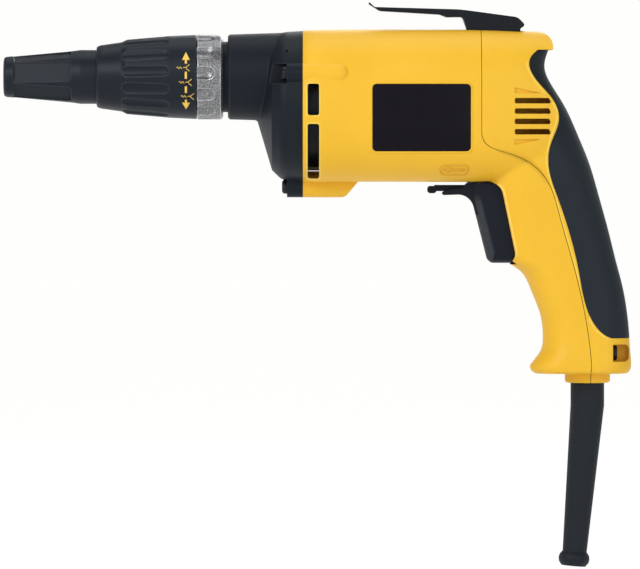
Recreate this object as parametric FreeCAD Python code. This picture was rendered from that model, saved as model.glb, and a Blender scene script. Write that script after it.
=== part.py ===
import FreeCAD
import Part
import math
import os

# Corded drywall screwdriver. The spindle's axis is X with the nose at -X, Z is up, and the origin is the
# middle of the nose's mouth. All sizes are in millimetres.

V = FreeCAD.Vector

# Fits
RUN_GAP = 0.05          # radial gap of a shaft that turns or slides in its bearing
SEAT_GAP = 0.02         # radial gap of a piece fixed in its seat
LOOSE_GAP = 0.3         # gap between moulded pieces that move on each other
SCREW_HOLE_GAP = 0.2    # radial gap of a screw in its clearance hole

# Lengths along the spindle, front to back
LOCATOR_SHOWN = 44.8
COLLAR_LENGTH = 48.1
RING_LENGTH = 12.4
NECK_GROOVE = 2.4
NECK_LENGTH = 12.0
DOME_LENGTH = 24.1
BARREL_LENGTH = 85.4
COVER_LENGTH = 34.5

# Nose: locator, sleeve and collar
MOUTH_R = 6.7
MOUTH_LENGTH = 6.0
LOCATOR_TIP_R = 9.7
LOCATOR_EDGE_R = 1.4
LOCATOR_TAPER_R = 12.4
LOCATOR_BARREL_R = 13.0
LOCATOR_TAPER_LENGTH = 32.8
LOCATOR_BORE_R = 7.6
LOCATOR_END_GAP = 4.8
LOCATOR_TRAVEL = 2.5
PANEL_COUNT = 6
PANEL_START = 5.0
PANEL_WIDTH = 9.2
PANEL_CORNER_R = 1.8
PANEL_DEPTH = 1.5
PANEL_TURN = 17.0
SLEEVE_TUBE_R = 10.0
SLEEVE_TUBE_BORE_R = 8.4
SLEEVE_TUBE_LENGTH = 30.0
SLEEVE_WEB = 2.0
SLEEVE_CUP_LENGTH = 11.6
SLEEVE_CUP_WALL = 2.6
KEY_WIDTH = 3.0
KEY_HEIGHT = 1.1
COLLAR_LIP_R = 14.2
COLLAR_FRONT_R = 15.3
COLLAR_LIP_LENGTH = 2.2
COLLAR_CONE_R = 16.7
COLLAR_CONE_LENGTH = 12.0
RIDGE_STEP = 1.3
RIDGE_RAMP = 2.6
FLUTE_LENGTH = 20.5
FLUTE_DEPTH = 1.1
FLUTE_COUNT = 14
FLUTE_SCOOP_R = 5.0
FLUTE_TURN = 4.5
COLLAR_BAND_R = 19.7
COLLAR_REAR_R = 20.3
SNAP_RING_WIDTH = 1.2
SNAP_RING_R_SPAN = 1.6

# Neck parts
TUBE_FRONT_R = 15.4
TUBE_R = 17.0
RING_R = 20.5
SCOOP_COUNT = 12
SCOOP_LENGTH = 8.6
SCOOP_DEPTH = 1.25
SCOOP_CUTTER_R = 5.8
SCOOP_TURN = -5.0
O_RING_R = 1.0
BUSH_R = 9.0

# Gears
GEAR_MODULE = 0.6
PINION_TEETH = 8
GEAR_TEETH = 39
PRESSURE_ANGLE = math.radians(20.0)
TOOTH_SHIFT = 0.5
BACKLASH = 0.12
TIP_TRIM = 0.1
GEAR_WIDTH = 6.0
PINION_OVERRUN = 1.0
GEAR_HUB_R = 4.6
GEAR_BUSH_WALL = 1.55

# Spindle, clutch and bit holder
SPINDLE_R = 6.0
SPINDLE_SOCKET_R = 7.4
SPINDLE_SOCKET_LENGTH = 20.0
SPINDLE_TAIL_R = 2.8
CLUTCH_FLANGE_R = 10.5
CLUTCH_FLANGE_LENGTH = 7.5
SPRING_POCKET_R = 6.3
SPRING_POCKET_DEPTH = 6.0
DOG_COUNT = 3
DOG_ANGLE = 44.0
DOG_INNER_R = 7.2
DOG_HEIGHT = 1.6
DOG_GAP = 0.8
CLUTCH_PUSH = 2.0
SPRING_WIRE = 1.0
SPRING_TURNS = 4
HEX_FLATS = 6.35
HEX_GAP = 0.06
BIT_HOLDER_R = 5.6
BIT_HOLDER_SETBACK = 12.0
BIT_SOCKET_DEPTH = 10.0
BIT_SHANK_LENGTH = 16.0
MAGNET_R = 2.7
MAGNET_LENGTH = 4.0
CLIP_WIRE = 1.2

# Gear case
NECK_FRONT_R = 20.5
NECK_REAR_R = 21.6
NECK_CHAMFER = 0.9
DOME_CREASE_X = 9.2
DOME_CREASE_DROP = 5.4
DOME_CREASE_R = 1.6
DOME_RISE = 14.2
DOME_TAPER = 0.6
DOME_CORNER_R = 6.0
PLATE_THICKNESS = 5.0
PLATE_R = 31.0
NECK_BLEND = 1.6
PIN_HOLE_R = 0.6
PIN_HOLE_SETBACK = 7.7
PIN_HOLE_Z = 12.1
PIN_HOLE_FLOOR_Y = 22.5

# Gear case screws
SIDE_BOLT_R = 34.8
SIDE_BOLT_ANGLE = 26.5
FOOT_BOLT_R = 38.8
BOSS_R = 5.1
CHANNEL_R = 4.7
CHANNEL_SINK = 2.0
LUG_LENGTH = 7.7
CASE_SCREW_R = 2.0
CASE_SCREW_HEAD_R = 3.4
CASE_SCREW_HEAD = 2.4
CASE_SCREW_GRIP = 14.0
SIDE_BOSS_LENGTH = 22.6
FOOT_BOSS_LENGTH = 26.6
FOOT_BOSS_RAMP = 6.4
FOOT_BOSS_ROUND = 4.0

# Motor
BEARING_R = 7.0
BEARING_WIDTH = 4.6
JOURNAL_R = 3.5
SHAFT_R = 4.0
STATOR_R = 26.5
STATOR_WINDOW_R = 22.5
STATOR_BORE_R = 16.0
STATOR_LENGTH = 36.0
AIR_GAP = 0.6
ARMATURE_SLOTS = 12
ARMATURE_SLOT_WIDTH = 1.8
ARMATURE_SLOT_DEPTH = 5.0
WINDING_R = 13.4
WINDING_LENGTH = 6.5
COMMUTATOR_R = 10.0
COMMUTATOR_LENGTH = 11.0
RISER_R = 11.2
RISER_LENGTH = 2.0
FAN_R = 29.2
FAN_WIDTH = 7.5
FAN_BLADES = 11
FAN_BLADE = 1.6
FAN_BACK = 1.5
FAN_FRONT_GAP = 1.2
FAN_REAR_GAP = 14.3
BAFFLE_THICKNESS = 1.8
BAFFLE_R = 29.2
BAFFLE_HOLE_R = 19.0
SHROUD_WALL = 1.2
SHROUD_ANGLE = 24.0
POLE_HALF_ANGLE = 40.0
COIL_WIDTH_ANGLE = 13.0
COIL_END = 5.0
RIB_WIDTH = 5.0
WEB_HOLE_START = 20.0
WEB_HOLE_ANGLE = 50.0
BRUSH_X_SIZE = 6.5
BRUSH_Z_SIZE = 8.0
BRUSH_LENGTH = 11.0
BRUSH_WEAR_GAP = 0.1
HOLDER_WALL = 1.0
HOLDER_STANDOFF = 1.5
BRUSH_SPRING_STRIP = 0.5
BRUSH_SPRING_FOLDS = 3

# Housing: barrel stations are (distance behind the front, half width, top height, bottom height, corner
# radius), heights from the spindle's axis
HOUSING_WALL = 3.0
COVER_WALL = 4.8
GRIP_THICKNESS = 2.4
FLOOR_THICKNESS = 3.2
BARREL_STATIONS = [
    (0.0, 36.3, 22.3, -50.5, 34.0),
    (9.0, 36.3, 22.6, -50.6, 28.0),
    (25.0, 34.4, 22.8, -50.5, 28.0),
    (55.0, 33.8, 22.8, -50.5, 27.0),
    (85.4, 32.4, 22.6, -50.5, 25.0),
    (102.0, 29.5, 22.2, -50.0, 23.0),
    (114.0, 26.0, 21.8, -49.0, 21.0),
    (124.0, 22.0, 21.4, -48.0, 18.0),
]
TAIL_CORNER_R = 6.5

# Handle stations are (height, front, rear, half width), front and rear from the nose's mouth
HANDLE_STATIONS = [
    (17.8, 236.7, 258.4, 15.0),
    (11.1, 234.3, 261.5, 18.0),
    (4.3, 233.3, 260.3, 19.0),
    (-3.4, 232.8, 263.4, 20.0),
    (-13.0, 232.3, 269.4, 21.5),
    (-27.5, 231.8, 276.2, 23.0),
    (-41.9, 232.3, 282.0, 23.5),
    (-56.4, 234.3, 286.3, 20.5),
    (-73.7, 238.1, 291.1, 18.2),
    (-88.6, 241.8, 294.8, 17.5),
    (-93.0, 248.2, 296.0, 17.3),
    (-102.7, 254.0, 298.4, 17.2),
    (-114.2, 258.4, 300.3, 17.2),
    (-124.8, 259.8, 301.3, 17.6),
    (-131.6, 258.8, 301.7, 18.4),
    (-137.4, 254.7, 302.2, 19.2),
    (-142.7, 255.9, 300.8, 18.4),
]
HANDLE_CORNER_SHARE = 0.8
HANDLE_FOOT_R = 2.4

# Seam between field case and cover: where it turns, and the points of its curve down the handle
SEAM_TURN_Z = -27.0
SEAM_GAP = 0.25
SEAM_CURVE = [
    (232.0, -32.5),
    (240.3, -36.1),
    (251.8, -40.7),
    (260.5, -48.9),
    (266.8, -65.5),
    (274.3, -92.1),
    (280.0, -117.6),
    (282.4, -137.0),
]

# Edge of the grip, from the tail of the cover down to the heel
GRIP_EDGE = [
    (256.9, 13.0),
    (252.4, 5.8),
    (256.5, -2.4),
    (265.2, -13.2),
    (266.8, -20.1),
    (262.9, -32.0),
    (261.7, -42.0),
    (266.0, -57.2),
    (276.7, -94.5),
    (283.2, -117.6),
    (287.5, -122.9),
    (292.5, -125.6),
]

# Vents
FRONT_VENT_X = 2.3
FRONT_VENT_WIDTH = 5.5
FRONT_VENT_R = 1.1
VENT_RIB = 2.4
UPPER_VENT_TOP = -3.4
UPPER_VENT_LENGTH = 15.0
VENT_BRIDGE = 4.2
LOWER_VENT_LENGTH = 26.2
REAR_VENT_COUNT = 4
REAR_VENT_X = 16.0
REAR_VENT_LENGTH = 16.5
REAR_VENT_HEIGHT = 2.6
REAR_VENT_PITCH = 4.95
REAR_VENT_TOP = -10.2
REAR_VENT_SLANT = 1.2
BLIND_VENT_DEPTH = 0.9
BLIND_VENT_LENGTH = 12.0

# Trigger and reverser: the front leans from the toe to the throat under the horn, and the horn's outline is
# (x, height, corner radius) from its tip back to the top
TRIGGER_HALF_WIDTH = 11.6
TRIGGER_TRAVEL = 6.5
TRIGGER_GAP = 0.6
TRIGGER_TOP = -51.2
TRIGGER_BOTTOM = -89.5
TRIGGER_TOE_X = 233.2
TRIGGER_TOE_R = 3.5
THROAT_X = 224.8
THROAT_Z = -56.4
THROAT_R = 8.0
HORN_OUTLINE = [
    (211.0, -56.9, 0.7),
    (211.4, -55.3, 0.7),
    (221.4, -53.0, 0.5),
    (222.8, TRIGGER_TOP, 0.6),
]
HORN_HALF_WIDTH = 9.4
TRIGGER_EDGE_R = 5.5
OPENING_REAR_TOP = 239.0
OPENING_REAR_BOTTOM = 247.2
OPENING_TOP_R = 7.0
OPENING_BOTTOM_R = 5.0
TRIGGER_INSERT = 4.0
SLOT_HALF_WIDTH = 7.4
SLOT_FLOOR = -58.0
PLUNGER_R = 2.6
PLUNGER_Z = -73.0
PLUNGER_REACH = 5.0
TRIGGER_POCKET_R = 5.2
TRIGGER_POCKET_DEPTH = 7.0
TRIGGER_SPRING_WIRE = 0.8
TRIGGER_SPRING_TURNS = 6
SWITCH_X = 260.0
SWITCH_LENGTH = 18.0
SWITCH_HALF_WIDTH = 11.5
SWITCH_TOP = -59.5
SWITCH_HEIGHT = 34.0
SHELF = 2.0
LEVER_TIP_X = 204.0
LEVER_PIVOT_X = 231.0
LEVER_TAIL = 26.0
LEVER_TOP = -52.0
LEVER_THICKNESS = 3.0
LEVER_TIP_DROP = 1.0
LEVER_TIP_LENGTH = 4.4
LEVER_HALF_WIDTH = 2.2
LEVER_TIP_HALF_WIDTH = 3.6
LEVER_HUB_R = 4.0
LEVER_PIN_R = 1.5
LEVER_PIN_HEAD_R = 2.8
LEVER_PIN_HEAD = 1.0
LEVER_PIN_SET = 6.0

# Belt hook: its side outline is (x, height, corner radius), from the tip back over the top and round
HOOK_HALF_WIDTH = 11.0
HOOK_TIP_HALF_WIDTH = 7.5
HOOK_SEAT_Z = 21.5
HOOK_SHOULDER_Z = 23.2
HOOK_FRONT_X = 222.8
HOOK_REAR_X = 248.6
HOOK_OUTLINE = [
    (176.1, 35.9, 0.4),
    (178.6, 33.6, 2.0),
    (219.8, 32.4, 60.0),
    (247.3, 28.7, 5.0),
    (251.2, 24.8, 1.2),
    (HOOK_REAR_X, HOOK_SHOULDER_Z, 1.0),
    (HOOK_REAR_X, HOOK_SEAT_Z, 0),
    (HOOK_FRONT_X, HOOK_SEAT_Z, 0),
    (HOOK_FRONT_X, HOOK_SHOULDER_Z, 0.5),
    (220.8, 28.8, 1.6),
    (213.2, 28.7, 1.6),
    (209.8, 30.0, 1.6),
    (181.0, 31.7, 3.0),
    (175.5, 35.2, 0.4),
]
HOOK_SCREW_X = (226.0, 241.5)
HOOK_SCREW_R = 1.7
HOOK_SCREW_HEAD_R = 2.9
HOOK_SCREW_HEAD = 2.0
HOOK_SCREW_SEAT = 3.0
HOOK_SCREW_GRIP = 8.0

# Cord exit and handle foot
CORD_R = 4.1
CORD_X = 281.2
CORD_LEAN = 4.9
NECK_R = 10.9
NECK_DROP = 4.6
CORD_NECK_EDGE_R = 1.3
PROTECTOR_R = 8.1
PROTECTOR_STRAIGHT = 10.6
PROTECTOR_END_R = 5.85
PROTECTOR_LENGTH = 78.0
PROTECTOR_FLARE_R = 7.5
PROTECTOR_FLARE = 7.0
PROTECTOR_FLANGE_R = 10.2
PROTECTOR_FLANGE = 2.2
POCKET_X = 293.0
POCKET_LENGTH = 7.8
POCKET_TOP = -128.6
POCKET_HEIGHT = 8.2
POCKET_CORNER_R = 2.2
POCKET_FLOOR_Y = 4.6
COVER_SCREW_Y = 9.2
COVER_SCREW_R = 1.8
COVER_SCREW_HEAD_R = 3.7
COVER_SCREW_HEAD = 2.2
COVER_SCREW_GRIP = 20.0
FOOT_BLOCK_DEPTH = 14.0
CLAMP_Z = -119.0
CLAMP_HEIGHT = 7.0
CLAMP_HALF_WIDTH = 11.0
CLAMP_THICKNESS = 2.4
CLAMP_SCREW_Y = 7.6
CLAMP_SCREW_R = 1.4
CLAMP_SCREW_HEAD_R = 2.6
CLAMP_SCREW_HEAD = 1.6
CLAMP_SCREW_GRIP = 8.0

# Places that follow from the sizes above
COLLAR_X = LOCATOR_SHOWN
COLLAR_END = COLLAR_X + COLLAR_LENGTH
RING_X = COLLAR_END + LOOSE_GAP
RING_END = RING_X + RING_LENGTH
CASE_X = RING_END + NECK_GROOVE
DOME_X = CASE_X + NECK_LENGTH
CASE_END = DOME_X + DOME_LENGTH
SEAM_X = CASE_END + BARREL_LENGTH
TAIL_X = SEAM_X + COVER_LENGTH
MOTOR_Z = -GEAR_MODULE * (PINION_TEETH + GEAR_TEETH) / 2
SLEEVE_WEB_X = COLLAR_END - SLEEVE_CUP_LENGTH - SLEEVE_WEB
SLEEVE_CUP_BORE_R = TUBE_FRONT_R + LOOSE_GAP
SLEEVE_CUP_R = SLEEVE_CUP_BORE_R + SLEEVE_CUP_WALL
TUBE_X = SLEEVE_WEB_X + SLEEVE_WEB + LOOSE_GAP
LOCATOR_END = SLEEVE_WEB_X - LOCATOR_TRAVEL - LOCATOR_END_GAP
PLATE_X = CASE_END - PLATE_THICKNESS
GEAR_END = PLATE_X - LOOSE_GAP
GEAR_X = GEAR_END - GEAR_WIDTH
CLUTCH_FACE_X = GEAR_X - 2 * DOG_HEIGHT - DOG_GAP
FLANGE_X = CLUTCH_FACE_X - CLUTCH_FLANGE_LENGTH
BUSH_END = FLANGE_X - LOOSE_GAP
SPINDLE_X = RING_X - SPINDLE_SOCKET_LENGTH
STATOR_X = CASE_END + FAN_FRONT_GAP + FAN_WIDTH + FAN_REAR_GAP
STATOR_END = STATOR_X + STATOR_LENGTH
FAN_X = CASE_END + FAN_FRONT_GAP
BEARING_END = SEAM_X - 1.0
REAR_BEARING_X = BEARING_END - BEARING_WIDTH
COMMUTATOR_END = REAR_BEARING_X - 3.0
COMMUTATOR_X = COMMUTATOR_END - COMMUTATOR_LENGTH
HANDLE_FOOT_Z = HANDLE_STATIONS[-1][0]
CASE_BOLTS = [
    (SIDE_BOLT_R * math.cos(math.radians(a)), MOTOR_Z + SIDE_BOLT_R * math.sin(math.radians(a)))
    for a in (SIDE_BOLT_ANGLE, 180 - SIDE_BOLT_ANGLE)
] + [(0.0, MOTOR_Z - FOOT_BOLT_R)]
HEAD_SEAT_X = CASE_END - LUG_LENGTH
FAR = 400.0             # reach of cutting tools, past the whole part


# Shapes used by several pieces

def cylinder_x(radius, x0, x1, y=0.0, z=0.0):
    return Part.makeCylinder(radius, x1 - x0, V(x0, y, z), V(1, 0, 0))


def upright(radius, z0, z1, x):
    return Part.makeCylinder(radius, z1 - z0, V(x, 0, z0), V(0, 0, 1))


def tube_x(outer, inner, x0, x1, y=0.0, z=0.0):
    return cylinder_x(outer, x0, x1, y, z).cut(cylinder_x(inner, x0, x1, y, z))


def block(x0, x1, y0, y1, z0, z1):
    return Part.makeBox(x1 - x0, y1 - y0, z1 - z0, V(x0, y0, z0))


def turned(profile, z=0.0):
    """Solid turned about an X axis from a closed outline of (x, radius)."""
    points = [V(x, 0, z + r) for x, r in profile]
    face = Part.Face(Part.makePolygon(points + points[:1]))
    return face.revolve(V(0, 0, z), V(1, 0, 0), 360)


def rounded_wire(corners, place):
    """Closed wire through corners (a, b, radius), each rounded by its radius."""
    ends = []
    count = len(corners)
    for i, (a, b, radius) in enumerate(corners):
        here = V(a, b, 0)
        back = (V(*corners[i - 1][:2], 0) - here).normalize()
        ahead = (V(*corners[(i + 1) % count][:2], 0) - here).normalize()
        if radius == 0:
            ends.append((here, None, here))
            continue
        half = back.getAngle(ahead) / 2
        middle = (back + ahead).normalize()
        centre = here + middle * (radius / math.sin(half))
        reach = radius / math.tan(half)
        ends.append((here + back * reach, centre - middle * radius, here + ahead * reach))
    edges = []
    for i, (start, mid, end) in enumerate(ends):
        last = ends[i - 1][2]
        if (start - last).Length > 1e-6:
            edges.append(Part.makeLine(place(last.x, last.y), place(start.x, start.y)))
        if mid is not None:
            arc = Part.Arc(place(start.x, start.y), place(mid.x, mid.y), place(end.x, end.y))
            edges.append(arc.toShape())
    return Part.Wire(edges)


def side_plate(corners, y0, y1):
    """Plate with a rounded side-view outline of (x, z, radius), from y0 to y1."""
    wire = rounded_wire(corners, lambda a, b: V(a, y0, b))
    return Part.Face(wire).extrude(V(0, y1 - y0, 0))


def around_x(shape, count, turn=0.0):
    """Copies of a shape spread evenly about the spindle's axis."""
    copies = []
    for i in range(count):
        copy = shape.copy()
        copy.rotate(V(0, 0, 0), V(1, 0, 0), turn + 360.0 * i / count)
        copies.append(copy)
    return Part.makeCompound(copies)


def mirrored_y(shape):
    return shape.mirror(V(0, 0, 0), V(0, 1, 0))


def both_sides(*shapes):
    solids = [solid for shape in shapes for solid in shape.Solids]
    return Part.makeCompound(solids + [mirrored_y(solid) for solid in solids])


def sector(inner, outer, x0, x1, start, sweep, z=0.0):
    """Part of a tube about an X axis, angles in degrees from +Y towards +Z."""
    face = Part.Face(Part.makePolygon([
        V(x0, inner, z), V(x1, inner, z), V(x1, outer, z), V(x0, outer, z), V(x0, inner, z)]))
    piece = face.revolve(V(0, 0, z), V(1, 0, 0), sweep)
    piece.rotate(V(0, 0, z), V(1, 0, 0), start)
    return piece


def hexagon(flats, x0, x1):
    reach = flats / math.sqrt(3)
    points = [V(x0, reach * math.cos(math.radians(60 * i)), reach * math.sin(math.radians(60 * i)))
              for i in range(7)]
    return Part.Face(Part.makePolygon(points)).extrude(V(x1 - x0, 0, 0))


def coil_spring(mean_r, wire, x0, x1, turns, z=0.0):
    """Spring of square wire about an X axis, with its ends at x0 and x1."""
    pitch = (x1 - x0 - wire) / turns
    helix = Part.makeHelix(pitch, x1 - x0 - wire, mean_r)
    h = wire / 2
    section = Part.makePolygon([V(mean_r - h, 0, -h), V(mean_r + h, 0, -h), V(mean_r + h, 0, h),
                                V(mean_r - h, 0, h), V(mean_r - h, 0, -h)])
    spring = Part.Wire(helix.Edges).makePipeShell([section], True, True)
    spring.rotate(V(0, 0, 0), V(0, 1, 0), 90)
    spring.translate(V(x0 + h, 0, z))
    return spring


def pan_screw(head_r, head, shank_r, grip):
    """Screw along +X with its head's seat at the origin."""
    crown = head * 0.35
    screw = turned([(0, 0), (-head, 0), (-head, head_r - crown), (-head + crown, head_r), (0, head_r)])
    screw = screw.fuse(cylinder_x(shank_r, -crown, grip))
    reach = head_r * 0.55
    slot = head_r * 0.11
    drive = block(-head - 1, -head * 0.5, -reach, reach, -slot, slot)
    turned_drive = drive.copy()
    turned_drive.rotate(V(0, 0, 0), V(1, 0, 0), 90)
    return screw.cut(drive).cut(turned_drive)


def placed(shape, x, y, z):
    copy = shape.copy()
    copy.translate(V(x, y, z))
    return copy


def finger_scoop(radius, depth, x0, floor0, x1, floor1):
    """Round-nosed cutter towards +Z, its lowest line from (x0, floor0) to where its mark ends at x1."""
    mark = math.sqrt(2 * radius * depth - depth * depth)
    start = V(x0, 0, floor0 + radius)
    end = V(x1 - mark, 0, floor1 + radius)
    rod = Part.makeCylinder(radius, (end - start).Length, start, end - start)
    return rod.fuse(Part.makeSphere(radius, end))


def radial_slot(x0, x1, width, corner, reach):
    """Slot cutter standing on the axis towards +Z, with rounded corners at its rear end."""
    half = width / 2
    corners = [(x0, -half, 0), (x1, -half, corner), (x1, half, corner), (x0, half, 0)]
    return Part.Face(rounded_wire(corners, lambda a, b: V(a, b, 0))).extrude(V(0, 0, reach))


def gear_outline(teeth, shift, tip_trim, x, z):
    """Wire of an involute gear with straight-line flanks between points of the involute."""
    pitch_r = GEAR_MODULE * teeth / 2
    base_r = pitch_r * math.cos(PRESSURE_ANGLE)
    tip_r = pitch_r + GEAR_MODULE * (1 + shift) - tip_trim
    root_r = pitch_r - GEAR_MODULE * (1.25 - shift)
    thickness = GEAR_MODULE * (math.pi / 2 + 2 * shift * math.tan(PRESSURE_ANGLE)) - BACKLASH / 2
    base_half = thickness / (2 * pitch_r) + math.tan(PRESSURE_ANGLE) - PRESSURE_ANGLE
    start_r = max(base_r, root_r)
    flank = []
    steps = 4
    for i in range(steps + 1):
        r = start_r + (tip_r - start_r) * i / steps
        angle = math.acos(min(1.0, base_r / r))
        flank.append((r, base_half - (math.tan(angle) - angle)))
    if root_r < start_r:
        flank.insert(0, (root_r, base_half))
    points = []
    for t in range(teeth):
        middle = 2 * math.pi * t / teeth
        for r, half in flank:
            points.append((r, middle - half))
        for r, half in reversed(flank):
            points.append((r, middle + half))
    corners = [V(x, r * math.sin(a), z + r * math.cos(a)) for r, a in points]
    return Part.makePolygon(corners + corners[:1])


def gear(teeth, shift, tip_trim, x0, x1, z, turn):
    body = Part.Face(gear_outline(teeth, shift, tip_trim, x0, z)).extrude(V(x1 - x0, 0, 0))
    body.rotate(V(0, 0, z), V(1, 0, 0), turn)
    return body


# Nose

def locator_nosepiece():
    barrel_x = LOCATOR_TAPER_LENGTH + 3 * LOCATOR_EDGE_R
    guide_x = SLEEVE_WEB_X - SLEEVE_TUBE_LENGTH - LOCATOR_TRAVEL - LOOSE_GAP
    guide_r = SLEEVE_TUBE_R + LOOSE_GAP
    body = turned([
        (0, MOUTH_R), (0, LOCATOR_TIP_R - LOCATOR_EDGE_R),
        (LOCATOR_EDGE_R * 0.3, LOCATOR_TIP_R - LOCATOR_EDGE_R * 0.3), (LOCATOR_EDGE_R, LOCATOR_TIP_R),
        (LOCATOR_TAPER_LENGTH, LOCATOR_TAPER_R), (barrel_x, LOCATOR_BARREL_R),
        (LOCATOR_END, LOCATOR_BARREL_R), (LOCATOR_END, guide_r), (guide_x, guide_r),
        (guide_x, LOCATOR_BORE_R), (MOUTH_LENGTH + LOCATOR_BORE_R - MOUTH_R, LOCATOR_BORE_R),
        (MOUTH_LENGTH, MOUTH_R)])
    lean = math.degrees(math.atan2(LOCATOR_TAPER_R - LOCATOR_TIP_R, LOCATOR_TAPER_LENGTH))
    length = LOCATOR_TAPER_LENGTH - PANEL_START
    panel = radial_slot(0, length, PANEL_WIDTH, PANEL_CORNER_R, LOCATOR_TAPER_R)
    panel.rotate(V(0, 0, 0), V(0, 1, 0), -lean)
    rise = (LOCATOR_TAPER_R - LOCATOR_TIP_R) * PANEL_START / LOCATOR_TAPER_LENGTH
    panel.translate(V(PANEL_START, 0, LOCATOR_TIP_R + rise - PANEL_DEPTH))
    key = KEY_WIDTH / 2 + LOOSE_GAP
    keyway = block(guide_x, LOCATOR_END, -key, key, 0, SLEEVE_TUBE_R + KEY_HEIGHT + LOOSE_GAP)
    return body.cut(around_x(panel, PANEL_COUNT, PANEL_TURN)).cut(around_x(keyway, 2))


def nose_sleeve():
    web_end = SLEEVE_WEB_X + SLEEVE_WEB
    body = turned([
        (SLEEVE_WEB_X - SLEEVE_TUBE_LENGTH, SLEEVE_TUBE_BORE_R),
        (SLEEVE_WEB_X - SLEEVE_TUBE_LENGTH, SLEEVE_TUBE_R), (SLEEVE_WEB_X, SLEEVE_TUBE_R),
        (SLEEVE_WEB_X, SLEEVE_CUP_R), (COLLAR_END, SLEEVE_CUP_R), (COLLAR_END, SLEEVE_CUP_BORE_R),
        (web_end, SLEEVE_CUP_BORE_R), (web_end, SLEEVE_TUBE_BORE_R)])
    key = block(SLEEVE_WEB_X - SLEEVE_TUBE_LENGTH, SLEEVE_WEB_X, -KEY_WIDTH / 2, KEY_WIDTH / 2,
                SLEEVE_TUBE_BORE_R + 1, SLEEVE_TUBE_R + KEY_HEIGHT)
    body = body.fuse(around_x(key, 2).Solids)
    return body.cut(snap_ring_groove(SLEEVE_CUP_R, SEAT_GAP))


def snap_ring_x():
    return COLLAR_END - 2.5 * SNAP_RING_WIDTH


def snap_ring_groove(middle_r, gap):
    half = SNAP_RING_R_SPAN / 2 + gap
    x = snap_ring_x()
    return tube_x(middle_r + half, middle_r - half, x - gap, x + SNAP_RING_WIDTH + gap)


def collar_retaining_ring():
    x = snap_ring_x()
    half = SNAP_RING_R_SPAN / 2
    ring = tube_x(SLEEVE_CUP_R + half, SLEEVE_CUP_R - half, x, x + SNAP_RING_WIDTH)
    opening = SNAP_RING_WIDTH * 1.5
    return ring.cut(block(x, x + SNAP_RING_WIDTH, -opening, opening, 0, COLLAR_REAR_R))


def depth_collar():
    bore_r = LOCATOR_BARREL_R + LOOSE_GAP
    cup_r = SLEEVE_CUP_R + LOOSE_GAP
    cone_end = COLLAR_X + COLLAR_CONE_LENGTH
    ridge_end = cone_end + RIDGE_RAMP + FLUTE_LENGTH
    lip_end = COLLAR_X + COLLAR_LIP_LENGTH
    front = [(COLLAR_X, 0), (COLLAR_X, COLLAR_LIP_R), (COLLAR_X + 0.6, COLLAR_LIP_R + 0.6),
             (lip_end, COLLAR_FRONT_R), (cone_end, COLLAR_CONE_R)]
    ridged = turned(front + [(cone_end + RIDGE_RAMP, COLLAR_CONE_R + RIDGE_STEP), (ridge_end, COLLAR_BAND_R),
                             (COLLAR_END, COLLAR_REAR_R), (COLLAR_END, 0)])
    floor_r = COLLAR_BAND_R - FLUTE_DEPTH
    scoop = finger_scoop(FLUTE_SCOOP_R, FLUTE_DEPTH, cone_end, COLLAR_CONE_R, ridge_end, floor_r)
    body = ridged.cut(around_x(scoop, FLUTE_COUNT, FLUTE_TURN))
    body = body.cut(cylinder_x(bore_r, COLLAR_X, COLLAR_END))
    body = body.cut(cylinder_x(cup_r, SLEEVE_WEB_X - LOOSE_GAP, COLLAR_END))
    return body.cut(snap_ring_groove(SLEEVE_CUP_R, LOOSE_GAP))


def nose_o_ring():
    x = (TUBE_X + RING_X) / 2
    return Part.makeTorus(TUBE_FRONT_R + LOOSE_GAP - SEAT_GAP - O_RING_R, O_RING_R, V(x, 0, 0), V(1, 0, 0))


def detent_ring():
    edge = 0.5
    bore_r = TUBE_R + SEAT_GAP
    body = turned([(RING_X, bore_r), (RING_X, RING_R - edge), (RING_X + edge, RING_R),
                   (RING_END - 2 * edge, RING_R), (RING_END, RING_R - 2 * edge), (RING_END, bore_r)])
    floor_r = RING_R - SCOOP_DEPTH
    scoop = finger_scoop(SCOOP_CUTTER_R, SCOOP_DEPTH, RING_X - 1, floor_r, RING_X + SCOOP_LENGTH, floor_r)
    return body.cut(around_x(scoop, SCOOP_COUNT, SCOOP_TURN + 90))


# Gear case and its contents

def bolt_boss(y, z, radius, x0, x1):
    """Boss about a bolt, with a web back to the motor's axis."""
    boss = cylinder_x(radius, x0, x1, y, z)
    reach = math.hypot(y, z - MOTOR_Z)
    web = block(x0, x1, -radius, radius, reach - radius * 0.7, reach)
    web.rotate(V(0, 0, 0), V(1, 0, 0), -math.degrees(math.atan2(y, z - MOTOR_Z)))
    web.translate(V(0, 0, MOTOR_Z))
    return boss.fuse(web)


def dome():
    rear_r = BARREL_STATIONS[0][1]
    corners = [(DOME_X, 0, 0), (DOME_X + DOME_CREASE_X, rear_r - DOME_CREASE_DROP, DOME_CREASE_R),
               (DOME_X + DOME_RISE, rear_r - DOME_TAPER, DOME_CORNER_R), (CASE_END, rear_r, 0),
               (CASE_END, 0, 0)]
    wire = rounded_wire(corners, lambda a, b: V(a, 0, MOTOR_Z + b))
    return Part.Face(wire).revolve(V(0, 0, MOTOR_Z), V(1, 0, 0), 360)


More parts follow.
